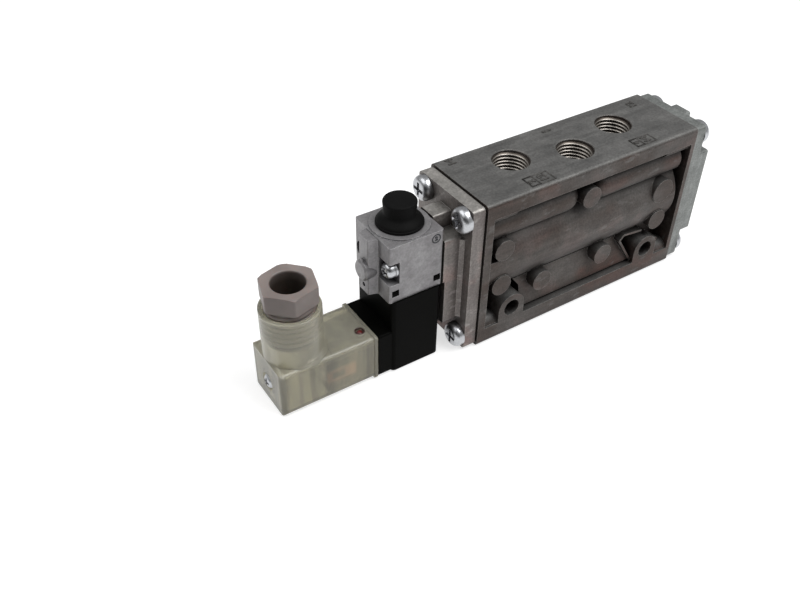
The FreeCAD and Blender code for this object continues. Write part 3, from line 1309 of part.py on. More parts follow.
def make_terminal_block():
    """The moulded block that carries the sockets and, on four posts, the lamp board."""
    half = PLUG_WIDTH / 2 - PLUG_WALL - FIT_GAP
    low, high = terminal_block_ends()
    post_y = BOARD_WIDTH / 2 - POST_INSET
    shape = block(low, high, -half, half, PLUG_FLOOR + FIT_GAP, TERMINAL_BLOCK_TOP)
    posts = [rod("Z", x, y, POST_RADIUS, TERMINAL_BLOCK_TOP - BOARD_STANDOFF, BOARD_BOTTOM)
             for x in (low + BACK_POST, high - FRONT_POST) for y in (-post_y, post_y)]
    shape = join(shape, *posts)
    for place in blade_places():
        y, z = place[:2]
        room = blade_box(place, high - SOCKET_DEPTH - FIT_GAP, high, SOCKET_WALL + FIT_GAP)
        hole = rod("X", y, z, TERMINAL_SCREW_RADIUS + FIT_GAP, low, high - SOCKET_DEPTH)
        shape = shape.cut(room).cut(hole)
    return shape.cut(rod("X", 0, SCREW_Z, PILOT_SCREW_RADIUS + PILOT_CLEARANCE, low, high))


def make_terminal_sockets():
    """The three brass sockets that grip the coil's terminals."""
    high = terminal_block_ends()[1]
    low = high - SOCKET_DEPTH
    sockets = []
    for place in blade_places():
        socket = blade_box(place, low, high, SOCKET_WALL)
        sockets.append(socket.cut(blade_box(place, low + SOCKET_END, high, FIT_GAP)))
    return Part.makeCompound(sockets)


def make_terminal_screws():
    """The wire screws behind the sockets, with slotted cheese heads."""
    seat, high = terminal_block_ends()
    face = seat - TERMINAL_HEAD
    half = TERMINAL_SLOT / 2
    screws = []
    for place in blade_places():
        y, z = place[:2]
        radius = TERMINAL_HEAD_RADIUS if y else EARTH_HEAD_RADIUS
        screw = rod("X", y, z, TERMINAL_SCREW_RADIUS, seat, high - SOCKET_DEPTH)
        screw = screw.fuse(rod("X", y, z, radius, face, seat))
        slot = block(face, seat - TERMINAL_HEAD / 2, y - half, y + half, z - radius, z + radius)
        screws.append(screw.cut(slot))
    return Part.makeCompound(screws)


def make_circuit_board():
    """The small board under the housing's roof that carries the lamp."""
    high = PLUG_FACE - FIT_GAP - BOARD_GAP
    half = BOARD_WIDTH / 2
    return block(high - BOARD_LENGTH, high, -half, half, BOARD_BOTTOM, BOARD_BOTTOM + BOARD_SHEET)


def make_indicator_lamp():
    """The red lamp: its stem on the board and its dome in the housing's hole."""
    dome = PLUG_TOP - LAMP_RADIUS - LAMP_DROP
    bottom = BOARD_BOTTOM + BOARD_SHEET
    outline = [(0, bottom), (LAMP_RADIUS, bottom), (LAMP_RADIUS, dome),
               round_edge(LAMP_RADIUS, dome + LAMP_RADIUS, LAMP_RADIUS)]
    return turned(outline, Vector(PLUG_FACE - LAMP_X, LAMP_Y, 0))


def make_plug_screw():
    """The long screw through the plug into the coil's insert."""
    seat = PLUG_BACK + PLUG_SCREW_WELL - 2 * SCREW_SEAL_WIRE
    length = BASE_FACE + TERMINAL_BASE - INSERT_MARGIN - seat
    screw = pan_screw(PILOT_SCREW_RADIUS, length, PILOT_HEAD_RADIUS, PILOT_HEAD, PILOT_SLOT_WIDTH,
                      PILOT_SLOT_DEPTH)
    return laid(screw, seat, 0, SCREW_Z, -1)


def make_screw_seal():
    """The O-ring under the plug screw's head."""
    wire = SCREW_SEAL_WIRE
    middle = PLUG_BACK + PLUG_SCREW_WELL - wire
    return loop("X", 0, SCREW_Z, middle, PILOT_SCREW_RADIUS + wire + WASHER_CLEARANCE, wire)


def make_gland_seal():
    """The rubber bush that closes round the cable, with a thin rim at its foot."""
    rim = TOWER_BORE_RADIUS - FIT_GAP
    outer = GLAND_SEAL_RADIUS
    ledge = SEAT_Z + GLAND_SEAL_RIM
    bore = GLAND_SEAL_BORE_RADIUS
    lip = GLAND_SEAL_LIP
    top = SEAT_Z + GLAND_SEAL
    profile = [(bore, SEAT_Z + lip), (bore + lip, SEAT_Z), (rim, SEAT_Z), (rim, ledge), (outer, ledge),
               (outer, top), (bore + lip, top), (bore, top - lip)]
    return turned(profile, Vector(TOWER_X, 0, 0))


def make_gland_washer():
    """The slip washer between the rubber bush and the gland nut."""
    low = SEAT_Z + GLAND_SEAL
    return ring("Z", TOWER_X, 0, TOWER_BORE_RADIUS - GLAND_GAP, GLAND_BORE_RADIUS, low, low + GLAND_WASHER)


def make_gland_nut():
    """The hexagon gland nut: threaded shank in the tower, chamfered head, round-edged bore."""
    low = SEAT_Z + GLAND_SEAL + GLAND_WASHER
    under = TOWER_TOP + NUT_LIFT
    top = under + NUT_HEIGHT
    corner = NUT_ACROSS_FLATS / math.sqrt(3)
    corners = []
    for k in range(6):
        turn = math.radians(NUT_TURN + 60 * k)
        corners.append((TOWER_X + corner * math.cos(turn), corner * math.sin(turn)))
    bevel = turned([(0, under), (corner - NUT_UNDERCUT, under), (corner, under + NUT_UNDERCUT),
                    (corner, top - NUT_CHAMFER), (corner - NUT_CROWN, top), (0, top)], Vector(TOWER_X, 0, 0))
    head = prism(corners, "Z", under, top, NUT_CORNER).common(bevel)
    shank = rod("Z", TOWER_X, 0, TOWER_BORE_RADIUS - GLAND_GAP, low, under)
    bore = GLAND_BORE_RADIUS
    mouth = round_edge(bore, top, NUT_EDGE, -1)
    hole = [(0, low), (bore, low), (bore, top - NUT_EDGE), mouth, (mouth[0], top + NUT_EDGE),
            (0, top + NUT_EDGE)]
    return join(head, shank).cut(turned(hole, Vector(TOWER_X, 0, 0)))


def write_parts():
    """Write one file per piece."""
    pieces = {
        "valve_body": make_valve_body(),
        "spool_sleeve": make_spool_sleeve(),
        "sleeve_seals": make_sleeve_seals(),
        "spool": make_spool(),
        "pilot_piston": make_pilot_piston(),
        "piston_seal": make_piston_seal(),
        "spring_seat": make_spring_seat(),
        "return_spring": make_return_spring(),
        "pilot_end_gasket": make_pilot_end_gasket(),
        "pilot_end_plate": make_pilot_end_plate(),
        "pilot_end_screws": make_plate_screws(LEFT_PLATE_FACE, -1),
        "cover_gasket": make_cover_gasket(),
        "spring_end_cover": make_spring_end_cover(),
        "cover_screws": make_plate_screws(RIGHT_PLATE_FACE, 1),
        "pilot_gasket": make_pilot_gasket(),
        "pilot_block": make_pilot_block(),
        "pilot_screws": make_pilot_screws(),
        "spring_washers": make_spring_washers(),
        "override_cap": make_override_cap(),
        "override_pin": make_override_pin(),
        "pin_seal": make_pin_seal(),
        "core_tube": make_core_tube(),
        "fixed_core": make_fixed_core(),
        "armature": make_armature(),
        "armature_seal": make_armature_seal(),
        "armature_spring": make_armature_spring(),
        "flux_frame": make_flux_frame(),
        "bobbin": make_bobbin(),
        "coil_winding": make_winding(),
        "coil_terminals": make_coil_terminals(),
        "screw_insert": make_screw_insert(),
        "coil_body": make_coil_body(),
        "plug_gasket": make_plug_gasket(),
        "plug_housing": make_plug_housing(),
        "terminal_block": make_terminal_block(),
        "terminal_sockets": make_terminal_sockets(),
        "terminal_screws": make_terminal_screws(),
        "circuit_board": make_circuit_board(),
        "indicator_lamp": make_indicator_lamp(),
        "plug_screw": make_plug_screw(),
        "screw_seal": make_screw_seal(),
        "gland_seal": make_gland_seal(),
        "gland_washer": make_gland_washer(),
        "gland_nut": make_gland_nut(),
    }
    os.makedirs("parts", exist_ok=True)
    for name, shape in pieces.items():
        print(name, len(shape.Solids), shape.isValid(), round(shape.Volume, 2))
        shape.exportStep(os.path.join("parts", name + ".step"))


write_parts()
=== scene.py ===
# %% [markdown]
# # A small solenoid valve, dressed for its portrait
#
# The valve is a grey die-cast body with threaded ports on top, a plate screwed to each end, a
# small pilot block with a rubber button, a black coil and a milky cable plug with a hexagon nut.
# The construction gives every solid piece. This lesson adds what a lathe, a mould and daylight
# add: threads, cast-in marks, surface finishes, a floor, soft light and a camera.

# %% Load the construction
import json
import math

import bpy
import numpy as np
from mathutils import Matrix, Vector


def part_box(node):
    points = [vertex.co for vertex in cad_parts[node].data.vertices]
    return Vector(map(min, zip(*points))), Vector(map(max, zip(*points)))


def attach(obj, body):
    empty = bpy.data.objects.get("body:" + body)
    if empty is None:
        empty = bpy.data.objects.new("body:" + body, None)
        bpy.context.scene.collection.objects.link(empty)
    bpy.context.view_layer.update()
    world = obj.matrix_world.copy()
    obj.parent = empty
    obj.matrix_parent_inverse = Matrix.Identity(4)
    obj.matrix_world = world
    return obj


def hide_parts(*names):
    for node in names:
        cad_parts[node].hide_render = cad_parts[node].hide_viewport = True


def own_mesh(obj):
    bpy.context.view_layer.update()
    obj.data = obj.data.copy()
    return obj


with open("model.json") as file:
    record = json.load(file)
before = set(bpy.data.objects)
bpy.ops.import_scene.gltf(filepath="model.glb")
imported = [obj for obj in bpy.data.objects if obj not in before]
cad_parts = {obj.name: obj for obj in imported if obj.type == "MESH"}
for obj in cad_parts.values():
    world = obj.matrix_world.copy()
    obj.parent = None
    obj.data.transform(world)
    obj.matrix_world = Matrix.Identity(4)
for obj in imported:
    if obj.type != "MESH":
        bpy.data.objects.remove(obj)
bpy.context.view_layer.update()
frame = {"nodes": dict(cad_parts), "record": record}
nodes = frame["nodes"]


# %% Put a new thing into the scene
def shown(name, data):
    """A new object in the scene that holds the mesh, text, lamp or camera given."""
    piece = bpy.data.objects.new(name, data)
    bpy.context.scene.collection.objects.link(piece)
    return piece


# %% [markdown]
# ## Camera
#
# A photograph of a small thing from close by is strongly foreshortened, so the place of the camera
# matters as much as its direction. It stands a third of a metre from the valve, high on its left,
# and its lens is a little shorter than a normal one. The angles are those of an upright camera
# tipped forward, rolled by less than a degree, and turned clockwise.

# %% Place the camera
MM = 0.001
CAMERA_PLACE = (-198.65, -194.43, 216.29)
CAMERA_ANGLES = (49.954, -0.710, -33.053)
CAMERA_LENS = 40.31
FILM_WIDTH = 36
NEAREST_SEEN = 0.01

camera = shown("camera", bpy.data.cameras.new("camera"))
camera.location = [value * MM for value in CAMERA_PLACE]
camera.rotation_euler = [math.radians(angle) for angle in CAMERA_ANGLES]
camera.data.sensor_width = FILM_WIDTH
camera.data.lens = CAMERA_LENS
camera.data.clip_start = NEAREST_SEEN
bpy.context.scene.camera = camera
bpy.context.scene.view_settings.view_transform = "Standard"
print("camera", math.dist(CAMERA_PLACE, (0, 0, 0)), "mm from the body's foot")

# %% [markdown]
# ## Floor and light
#
# The picture was taken on white. A white sheet would throw a lot of light up under the valve and
# flatten it, and more light would only wash it out. So the sheet is pale grey, and it shines, but
# only for the camera and for what mirrors it: the valve still gets its light from the lamps, and
# its soft shadow stays on the sheet.

# %% A pale floor
FLOOR_COLOUR = (0.55, 0.55, 0.55, 1)
FLOOR_GLOW = 0.64
FLOOR_SIZE = 40.0
WHITE = (1, 1, 1, 1)


def plain(name, colour, roughness, sheen):
    """A material of one colour, with the roughness and the strength of its reflections given."""
    material = bpy.data.materials.new(name)
    material.use_nodes = True
    shader = material.node_tree.nodes["Principled BSDF"]
    shader.inputs["Base Color"].default_value = colour
    shader.inputs["Roughness"].default_value = roughness
    shader.inputs["Specular IOR Level"].default_value = sheen
    return material


def sheet_of_paper(size):
    """A flat square of the size given, with its middle under the valve."""
    half = size / 2
    mesh = bpy.data.meshes.new("floor")
    corners = [(-half, -half, 0), (half, -half, 0), (half, half, 0), (-half, half, 0)]
    mesh.from_pydata(corners, [], [(0, 1, 2, 3)])
    return shown("floor", mesh)


def paper():
    """Matte pale grey, plus a glow that reaches only the camera, mirrors and glass."""
    material = plain("paper", FLOOR_COLOUR, 0.9, 0.1)
    tree = material.node_tree
    shader = tree.nodes["Principled BSDF"]
    shader.inputs["Emission Color"].default_value = WHITE
    ray = tree.nodes.new("ShaderNodeLightPath")
    seen = ray.outputs["Is Camera Ray"]
    for kind in ("Is Glossy Ray", "Is Transmission Ray"):
        either = tree.nodes.new("ShaderNodeMath")
        either.operation = "MAXIMUM"
        tree.links.new(seen, either.inputs[0])
        tree.links.new(ray.outputs[kind], either.inputs[1])
        seen = either.outputs[0]
    glow = tree.nodes.new("ShaderNodeMath")
    glow.operation = "MULTIPLY"
    glow.inputs[1].default_value = FLOOR_GLOW
    tree.links.new(seen, glow.inputs[0])
    tree.links.new(glow.outputs[0], shader.inputs["Emission Strength"])
    return material


floor = sheet_of_paper(FLOOR_SIZE)
floor.data.materials.append(paper())

# %% Soft lamps and a pale sky
# Each lamp has its place in metres, its size in metres and its power in watts.
LAMPS = {
    "window": ((0.24, -0.34, 0.78), 0.50, 4.7),
    "ceiling": ((-0.45, 0.15, 0.78), 0.70, 2.8),
}
SKY = 0.36

for name, (place, size, watts) in LAMPS.items():
    lamp = bpy.data.lights.new(name, "AREA")
    lamp.size = size
    lamp.energy = watts
    holder = shown(name, lamp)
    holder.location = place
    holder.rotation_euler = (-Vector(place)).to_track_quat("-Z", "Y").to_euler()

sky = bpy.data.worlds.new("sky")
sky.use_nodes = True
sky.node_tree.nodes["Background"].inputs["Color"].default_value = WHITE
sky.node_tree.nodes["Background"].inputs["Strength"].default_value = SKY
bpy.context.scene.world = sky
print("lamps:", ", ".join(LAMPS))

# %% [markdown]
# Bright screws mirror whatever stands round them, and a world that is pale all over makes them
# look like paper. A photographer's dark cloth behind the camera gives them something to mirror and
# keeps stray light off the upright faces, as a real one does. The camera itself doesn't see it, so
# that views from behind the valve keep a pale background.

# %% A dark cloth behind the camera
CLOTH_DISTANCE = 0.80
CLOTH_HALF_WIDTH = 0.75
CLOTH_TOP = 0.62
CLOTH_COLOUR = (0.03, 0.03, 0.03, 1)


def dark_cloth():
    """An upright black sheet that faces the valve from behind the camera."""
    away = Vector((CAMERA_PLACE[0], CAMERA_PLACE[1], 0)).normalized()
    side = Vector((-away.y, away.x, 0)) * CLOTH_HALF_WIDTH
    foot = away * CLOTH_DISTANCE
    up = Vector((0, 0, CLOTH_TOP))
    corners = [foot - side, foot + side, foot + side + up, foot - side + up]
    mesh = bpy.data.meshes.new("dark_cloth")
    mesh.from_pydata(corners, [], [(3, 2, 1, 0)])
    mesh.materials.append(plain("velvet", CLOTH_COLOUR, 0.95, 0.5))
    piece = shown("dark_cloth", mesh)
    piece.visible_camera = False
    return piece


dark_cloth()
print("the cloth hangs", CLOTH_DISTANCE, "m away")

# %% [markdown]
# ## How a finish is made
#
# Every finish below is a small recipe in three parts: a colour that drifts between two tones, a
# grain that lifts and lowers the surface, and how it shines. All of them read Object coordinates.
# Each piece stands at the origin with its place in its mesh, so those coordinates are metres from
# the valve's foot, and a pattern scale of 1000 means one patch to the millimetre.

# %% The parts of a recipe
CORNER_SAMPLES = 4
HOLLOW_SAMPLES = 5
# Each mask runs from 1 at its first cosine to 0 at its second: worn corners, and walls.
WORN_LEAN = (0.80, 0.995)
WALL_LEAN = (0.35, 0.85)
# The terminal block's latch and the slot in it: middle and half sizes along X and Z, in mm.
LATCH_X, LATCH_Z = -98.4, 8.8
LATCH_HALF = (5.6, 2.6)
SLOT_HALF = (2.3, 1.3)
SLOT_SHIFT = 0.8


class Finish:
    """One material: a Principled shader with helpers that add pattern nodes to it."""

    def __init__(self, name, metallic, roughness, **sockets):
        self.material = bpy.data.materials.new(name)
        self.material.use_nodes = True
        self.tree = self.material.node_tree
        self.shader = self.tree.nodes["Principled BSDF"]
        self.shader.inputs["Metallic"].default_value = metallic
        self.shader.inputs["Roughness"].default_value = roughness
        for socket, value in sockets.items():
            self.shader.inputs[socket.replace("_", " ")].default_value = value
        self.place = self.add("ShaderNodeTexCoord").outputs["Object"]
        self.normal = None

    def add(self, kind):
        """A new node of the kind given."""
        return self.tree.nodes.new(kind)

    def link(self, source, target):
        """A wire from an output socket to an input socket."""
        self.tree.links.new(source, target)

    def split(self, vector):
        """The X, Y and Z of the vector given."""
        node = self.add("ShaderNodeSeparateXYZ")
        self.link(vector, node.inputs[0])
        return node.outputs

    def noise(self, scale, detail=3.0, stretch=(1, 1, 1)):
        """Cloudy noise from 0 to 1 with the scale given in patches per metre."""
        mapping = self.add("ShaderNodeMapping")
        mapping.inputs["Scale"].default_value = stretch
        self.link(self.place, mapping.inputs["Vector"])
        node = self.add("ShaderNodeTexNoise")
        node.inputs["Scale"].default_value = scale
        node.inputs["Detail"].default_value = detail
        self.link(mapping.outputs["Vector"], node.inputs["Vector"])
        return node.outputs["Fac"]

    def between(self, value, low, high, start=0.35, end=0.65):
        """A colour that runs from low to high as the value runs from start to end."""
        ramp = self.add("ShaderNodeValToRGB")
        ramp.color_ramp.elements[0].position = start
        ramp.color_ramp.elements[0].color = (*low, 1)
        ramp.color_ramp.elements[1].position = end
        ramp.color_ramp.elements[1].color = (*high, 1)
        self.link(value, ramp.inputs["Fac"])
        return ramp.outputs["Color"]

    def span(self, value, low, high, start=0.0, end=1.0):
        """A number that runs from low to high as the value runs from start to end."""
        node = self.add("ShaderNodeMapRange")
        limits = {"From Min": start, "From Max": end, "To Min": low, "To Max": high}
        for socket, number in limits.items():
            node.inputs[socket].default_value = number
        self.link(value, node.inputs["Value"])
        return node.outputs["Result"]

    def math(self, operation, first, second=0.0):
        """The sum, product or other operation of two values, each a socket or a number."""
        node = self.add("ShaderNodeMath")
        node.operation = operation
        for socket, value in zip(node.inputs, (first, second)):
            if isinstance(value, (int, float)):
                socket.default_value = value
            else:
                self.link(value, socket)
        return node.outputs[0]

    def mix(self, share, first, second, blend="MIX"):
        """Two colours mixed by a share from 0 to 1; each is a socket or a triple."""
        node = self.add("ShaderNodeMix")
        node.data_type = "RGBA"
        node.blend_type = blend
        factor, a, b = node.inputs[0], node.inputs[6], node.inputs[7]
        for socket, value in ((a, first), (b, second)):
            if isinstance(value, tuple):
                socket.default_value = (*value, 1)
            else:
                self.link(value, socket)
        if isinstance(share, float):
            factor.default_value = share
        else:
            self.link(share, factor)
        return node.outputs[2]

    def across(self, axis, middle, half, soft=0.3):
        """A mask that is 1 where the X, Y or Z is within half of the middle, in millimetres."""
        offset = self.math("SUBTRACT", self.split(self.place)[axis], middle * MM)
        away = self.math("ABSOLUTE", offset)
        return self.span(away, 1.0, 0.0, (half - soft) * MM, (half + soft) * MM)

    def from_axis(self, x, y):
        """The distance in metres from the upright axis through x and y in millimetres."""
        parts = self.split(self.place)
        offsets = [self.math("SUBTRACT", parts[axis], value * MM)
                   for axis, value in (("X", x), ("Y", y))]
        squares = [self.math("POWER", offset, 2.0) for offset in offsets]
        return self.math("POWER", self.math("ADD", *squares), 0.5)

    def latch(self):
        """A mask for the terminal block's latch: a soft-edged rectangle with a slot in it."""
        shapes = []
        for x, (wide, high) in ((LATCH_X, LATCH_HALF), (LATCH_X - SLOT_SHIFT, SLOT_HALF)):
            level = self.across("Z", LATCH_Z, high)
            shapes.append(self.math("MULTIPLY", self.across("X", x, wide), level))
        return self.math("SUBTRACT", *shapes)

    def turns(self, x, low, pitch):
        """A wave from -1 to 1 on a thread's crests, cos(2 pi height / pitch - angle), round x."""
        parts = self.split(self.place)
        angle = self.math("ARCTAN2", parts["Y"], self.math("SUBTRACT", parts["X"], x * MM))
        height = self.math("SUBTRACT", parts["Z"], low * MM)
        rise = self.math("MULTIPLY", height, 2 * math.pi / (pitch * MM))
        return self.math("COSINE", self.math("SUBTRACT", rise, angle))

    def upright(self):
        """A mask that is 1 on walls and 0 on faces that look straight up or down."""
        normal = self.split(self.add("ShaderNodeNewGeometry").outputs["Normal"])
        return self.span(self.math("ABSOLUTE", normal["Z"]), 1.0, 0.0, *WALL_LEAN)

    def grain(self, height, depth):
        """A bump of the depth given in millimetres, added on top of the bumps before it."""
        node = self.add("ShaderNodeBump")
        node.inputs["Distance"].default_value = depth * MM
        self.link(height, node.inputs["Height"])
        if self.normal is not None:
            self.link(self.normal, node.inputs["Normal"])
        self.normal = node.outputs["Normal"]
        self.link(self.normal, self.shader.inputs["Normal"])

    def rounded(self, radius):
        """The normal that corners would have if rounded by the radius given in millimetres."""
        node = self.add("ShaderNodeBevel")
        node.samples = CORNER_SAMPLES
        node.inputs["Radius"].default_value = radius * MM
        return node.outputs["Normal"]

    def soft_edges(self, radius):
        """Corners that catch the light as if rounded by the radius given in millimetres."""
        self.normal = self.rounded(radius)
        self.link(self.normal, self.shader.inputs["Normal"])

    def worn(self, radius):
        """A mask that is 1 along corners: how far a rounded normal leans from the true one."""
        lean = self.add("ShaderNodeVectorMath")
        lean.operation = "DOT_PRODUCT"
        self.link(self.rounded(radius), lean.inputs[0])
        self.link(self.add("ShaderNodeNewGeometry").outputs["Normal"], lean.inputs[1])
        return self.span(lean.outputs["Value"], 1.0, 0.0, *WORN_LEAN)

    def crevices(self, distance):
        """A mask that is 0 in corners and hollows nearer than the distance in millimetres."""
        node = self.add("ShaderNodeAmbientOcclusion")
        node.samples = HOLLOW_SAMPLES
        node.inputs["Distance"].default_value = distance * MM
        return node.outputs["AO"]

    def colour(self, source):
        """The socket or triple given as the base colour."""
        if isinstance(source, tuple):
            self.shader.inputs["Base Color"].default_value = (*source, 1)
        else:
            self.link(source, self.shader.inputs["Base Color"])

    def roughness(self, source):
        """The socket given as the roughness."""
        self.link(source, self.shader.inputs["Roughness"])


# %% [markdown]
# ## Die-cast metal
#
# The body, plates and pilot block are cast in steel moulds and tumbled. Close up such a skin is
# cloudy: patches a few millimetres wide where the melt froze first, a fine orange peel, dirt in
# the hollows and bright rubbed corners. The hollows are also darkened as painted shade, deepest in
# the body's cross holes, and brown stains on the body's and plates' walls also paint shade beside
# the lit tops. One recipe with different tones serves all four parts.

# %% A recipe for castings
# Patches per metre, from stains a few centimetres wide to the orange peel's specks.
STAINS, RUST, CLOUDS, SCUFFS, LINES, SPECKS = 45, 70, 140, 420, 520, 1500
RUSTY = (1.32, 1.02, 0.98)
SCUFFED = 1.15
SPECK_SWING, LINE_SWING = 0.20, 0.17
CLOUDY = (0.30, 0.70)
SHADE_AND_DIRT_EDGES = (0.25, 0.88)
SHINE_SWING = 0.08
CLOUD_DEPTH = 0.05
WORN_RADIUS, EDGE_RADIUS = 0.35, 0.25
BORE_SHADE = 0.15


def scaled(tone, factor):
    """A colour multiplied by a number, or by one number for each of red, green and blue."""
    return tuple(np.multiply(tone, factor))


def stained_and_shaded(finish, tone, light, stain_and_shade):
    """The tone with brown stains and pale scuffs on its upright walls; the stains also darken the
    walls as painted shade.
    """
    patches = finish.span(finish.noise(STAINS, 4.0), 0.60, 1.0, 0.40, 0.60)
    # The stain colour is real staining and also painted shade that darkens the walls against the
    # tops.
    rust_and_shade = finish.between(finish.noise(RUST, 5.0), stain_and_shade, scaled(stain_and_shade, RUSTY), 0.5, 0.62)
    tone = finish.mix(finish.math("MULTIPLY", patches, finish.upright()), tone, rust_and_shade)
    rubs = finish.span(finish.noise(SCUFFS, 6.0, (0.4, 1, 1)), 0.0, 0.36, 0.60, 0.70)
    return finish.mix(finish.math("MULTIPLY", rubs, finish.upright()), tone, scaled(light, SCUFFED))


def darker_in(finish, hollow, bores, reach):
    """The mask of hollows, with painted shade deep inside cross holes along Y; each is an x, a z and
    a radius.
    """
    for x, z, radius in bores:
        inside = finish.math("MULTIPLY", finish.across("X", x, radius, 0.05),
                             finish.across("Z", z, radius, 0.05))
        deep = finish.math("MULTIPLY", inside, finish.across("Y", 0, reach, 0.6))
        hollow = finish.math("MULTIPLY", hollow, finish.span(deep, 1.0, BORE_SHADE))
    return hollow


def casting(name, dark, light, rubbed, dirt_and_shade, roughness=0.52, metallic=0.55, peel=0.035,
            lines=(1, 1, 1), stain_and_shade=None, reach=3.0, contrast=1.0, bores=(), bore_reach=0.0):
    """Cloudy tones from dark to light, fine lines, stained walls with painted shade, dirt and
    painted shade in hollows, rubbed corners, peel.
    """
    finish = Finish(name, metallic, roughness)
    worn = finish.worn(WORN_RADIUS)
    clouds = finish.noise(CLOUDS, 5.0)
    speckle = finish.noise(SPECKS, 3.0)
    drawn = finish.noise(LINES, 4.0, lines)
    tone = finish.between(clouds, dark, light, *CLOUDY)
    if stain_and_shade:
        tone = stained_and_shaded(finish, tone, light, stain_and_shade)
    for pattern, swing in ((speckle, SPECK_SWING * contrast), (drawn, LINE_SWING * contrast)):
        shade = finish.between(pattern, (1 - swing,) * 3, (1 + swing,) * 3, *CLOUDY)
        tone = finish.mix(1.0, tone, shade, "MULTIPLY")
    # Painted shade as well as dirt: hollows, and most of all the cross holes, are darkened in
    # colour.
    hollow = finish.span(finish.crevices(reach), 0.0, 1.0, *SHADE_AND_DIRT_EDGES)
    tone = finish.mix(darker_in(finish, hollow, bores, bore_reach), dirt_and_shade, tone)
    share = finish.math("MULTIPLY", worn, finish.span(speckle, 0.25, 0.85, 0.35, 0.65))
    finish.colour(finish.mix(share, tone, rubbed))
    finish.roughness(finish.span(clouds, roughness + SHINE_SWING, roughness - SHINE_SWING))
    finish.soft_edges(EDGE_RADIUS)
    finish.grain(speckle, peel)
    finish.grain(clouds, CLOUD_DEPTH)
    return finish.material


ALONG_X = (0.10, 1, 1)
UP_AND_DOWN = (1, 1, 0.10)
EYE_DEPTH = 14.6
mounts = {mount["name"]: mount for mount in frame["record"]["mounts"]}
side_holes = mounts["side_holes"]
EYE_OUT = side_holes["dims"]["spacing_x_mm"] / 2
EYES = [(x, side_holes["pos_m"][2] / MM, side_holes["dims"]["hole_r_mm"])
        for x in (-EYE_OUT, EYE_OUT)]

finishes = {
    "body_cast": casting("body_cast", (0.112, 0.111, 0.108), (0.176, 0.174, 0.168),
                         (0.34, 0.33, 0.31), (0.022, 0.018, 0.016), lines=ALONG_X,
                         stain_and_shade=(0.063, 0.048, 0.041), reach=5.0, bores=EYES, bore_reach=EYE_DEPTH),
    "plate_cast": casting("plate_cast", (0.255, 0.246, 0.231), (0.405, 0.388, 0.366),
                          (0.55, 0.53, 0.50), (0.060, 0.053, 0.048), 0.45, lines=UP_AND_DOWN,
                          stain_and_shade=(0.175, 0.153, 0.145)),
    "cover_cast": casting("cover_cast", (0.180, 0.190, 0.184), (0.275, 0.288, 0.279),
                          (0.46, 0.47, 0.46), (0.080, 0.083, 0.080), 0.48, lines=UP_AND_DOWN),
    "pilot_cast": casting("pilot_cast", (0.215, 0.206, 0.213), (0.318, 0.312, 0.317),
                          (0.55, 0.55, 0.56), (0.095, 0.094, 0.098), 0.42, 0.45, 0.02,
                          contrast=0.6),
}
print("castings:", sorted(finishes))

# %% [markdown]
# ## Turned, plated and drawn metal
#
# Screws are zinc plated and bright, so what they mirror matters more than their colour. A little
# cloud in the roughness keeps them from looking like chrome. Turned and drawn pieces carry fine
# lines, which a noise stretched across the lathe's axis imitates.

# %% Recipes for machined metal
SCREW_HOLLOW = 0.9
SCREW_SHADE_AND_DIRT_EDGES = (0.35, 0.85)


def bright_metal(name, tone, roughness, grain=0.006, scale=900, stretch=(1, 1, 1), dirt_and_shade=None):
    """Metal with a faint cloud in its shine, fine tool lines and, if given, dirt and painted shade
    in its hollows.
    """
    finish = Finish(name, 1.0, roughness)
    cloud = finish.noise(scale, 4.0, stretch)
    colour = finish.between(cloud, scaled(tone, 0.86), tone)
    if dirt_and_shade:
        # Painted shade with dirt: the screws' cross recesses are darkened in their colour.
        outside_hollows = finish.span(finish.crevices(SCREW_HOLLOW), 0.0, 1.0, *SCREW_SHADE_AND_DIRT_EDGES)
        colour = finish.mix(outside_hollows, dirt_and_shade, colour)
    finish.colour(colour)
    finish.roughness(finish.span(cloud, roughness - 0.07, roughness + 0.09))
    finish.soft_edges(0.12)
    finish.grain(cloud, grain)
    return finish.material


finishes.update({
    "plated_steel": bright_metal("plated_steel", (0.53, 0.54, 0.56), 0.31, 0.012, 1500,
                                 dirt_and_shade=(0.055, 0.042, 0.034)),
    "bare_steel": bright_metal("bare_steel", (0.52, 0.52, 0.53), 0.34),
    "spring_steel": bright_metal("spring_steel", (0.38, 0.38, 0.39), 0.36),
    "hard_aluminium": bright_metal("hard_aluminium", (0.60, 0.60, 0.61), 0.38, 0.01, 700,
                                   stretch=(6, 1, 1)),
    "brass_metal": bright_metal("brass_metal", (0.72, 0.55, 0.26), 0.30),
    "tinned_brass": bright_metal("tinned_brass", (0.72, 0.69, 0.62), 0.30),
    "copper_wire": bright_metal("copper_wire", (0.68, 0.31, 0.16), 0.35, 0.05,
                                stretch=(0.2, 0.2, 8)),
})
print("machined metals added:", len(finishes), "finishes so far")

# %% [markdown]
# ## Rubber and moulded resin
#
# The button, seals and coil are black or nearly so, and what tells them apart is shine: rubber is
# soft and dull, the coil's resin a little glossier with a sparkle of fine grain. The hexagon nut
# is a warm grey nylon that lets a little light in under its skin, and its bore is painted dark as
# the shade deep inside it.

# %% Recipes for rubber and resin
# How far down the nut's bore the painted shade reaches and how softly it ends, in mm.
NUT_SHADE_DEPTH, NUT_SHADE_FADE = 14.0, 4.0
gland = mounts["cable_entry"]
TOWER_X = gland["pos_m"][0] / MM
NUT_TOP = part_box("gland_nut")[1].z / MM


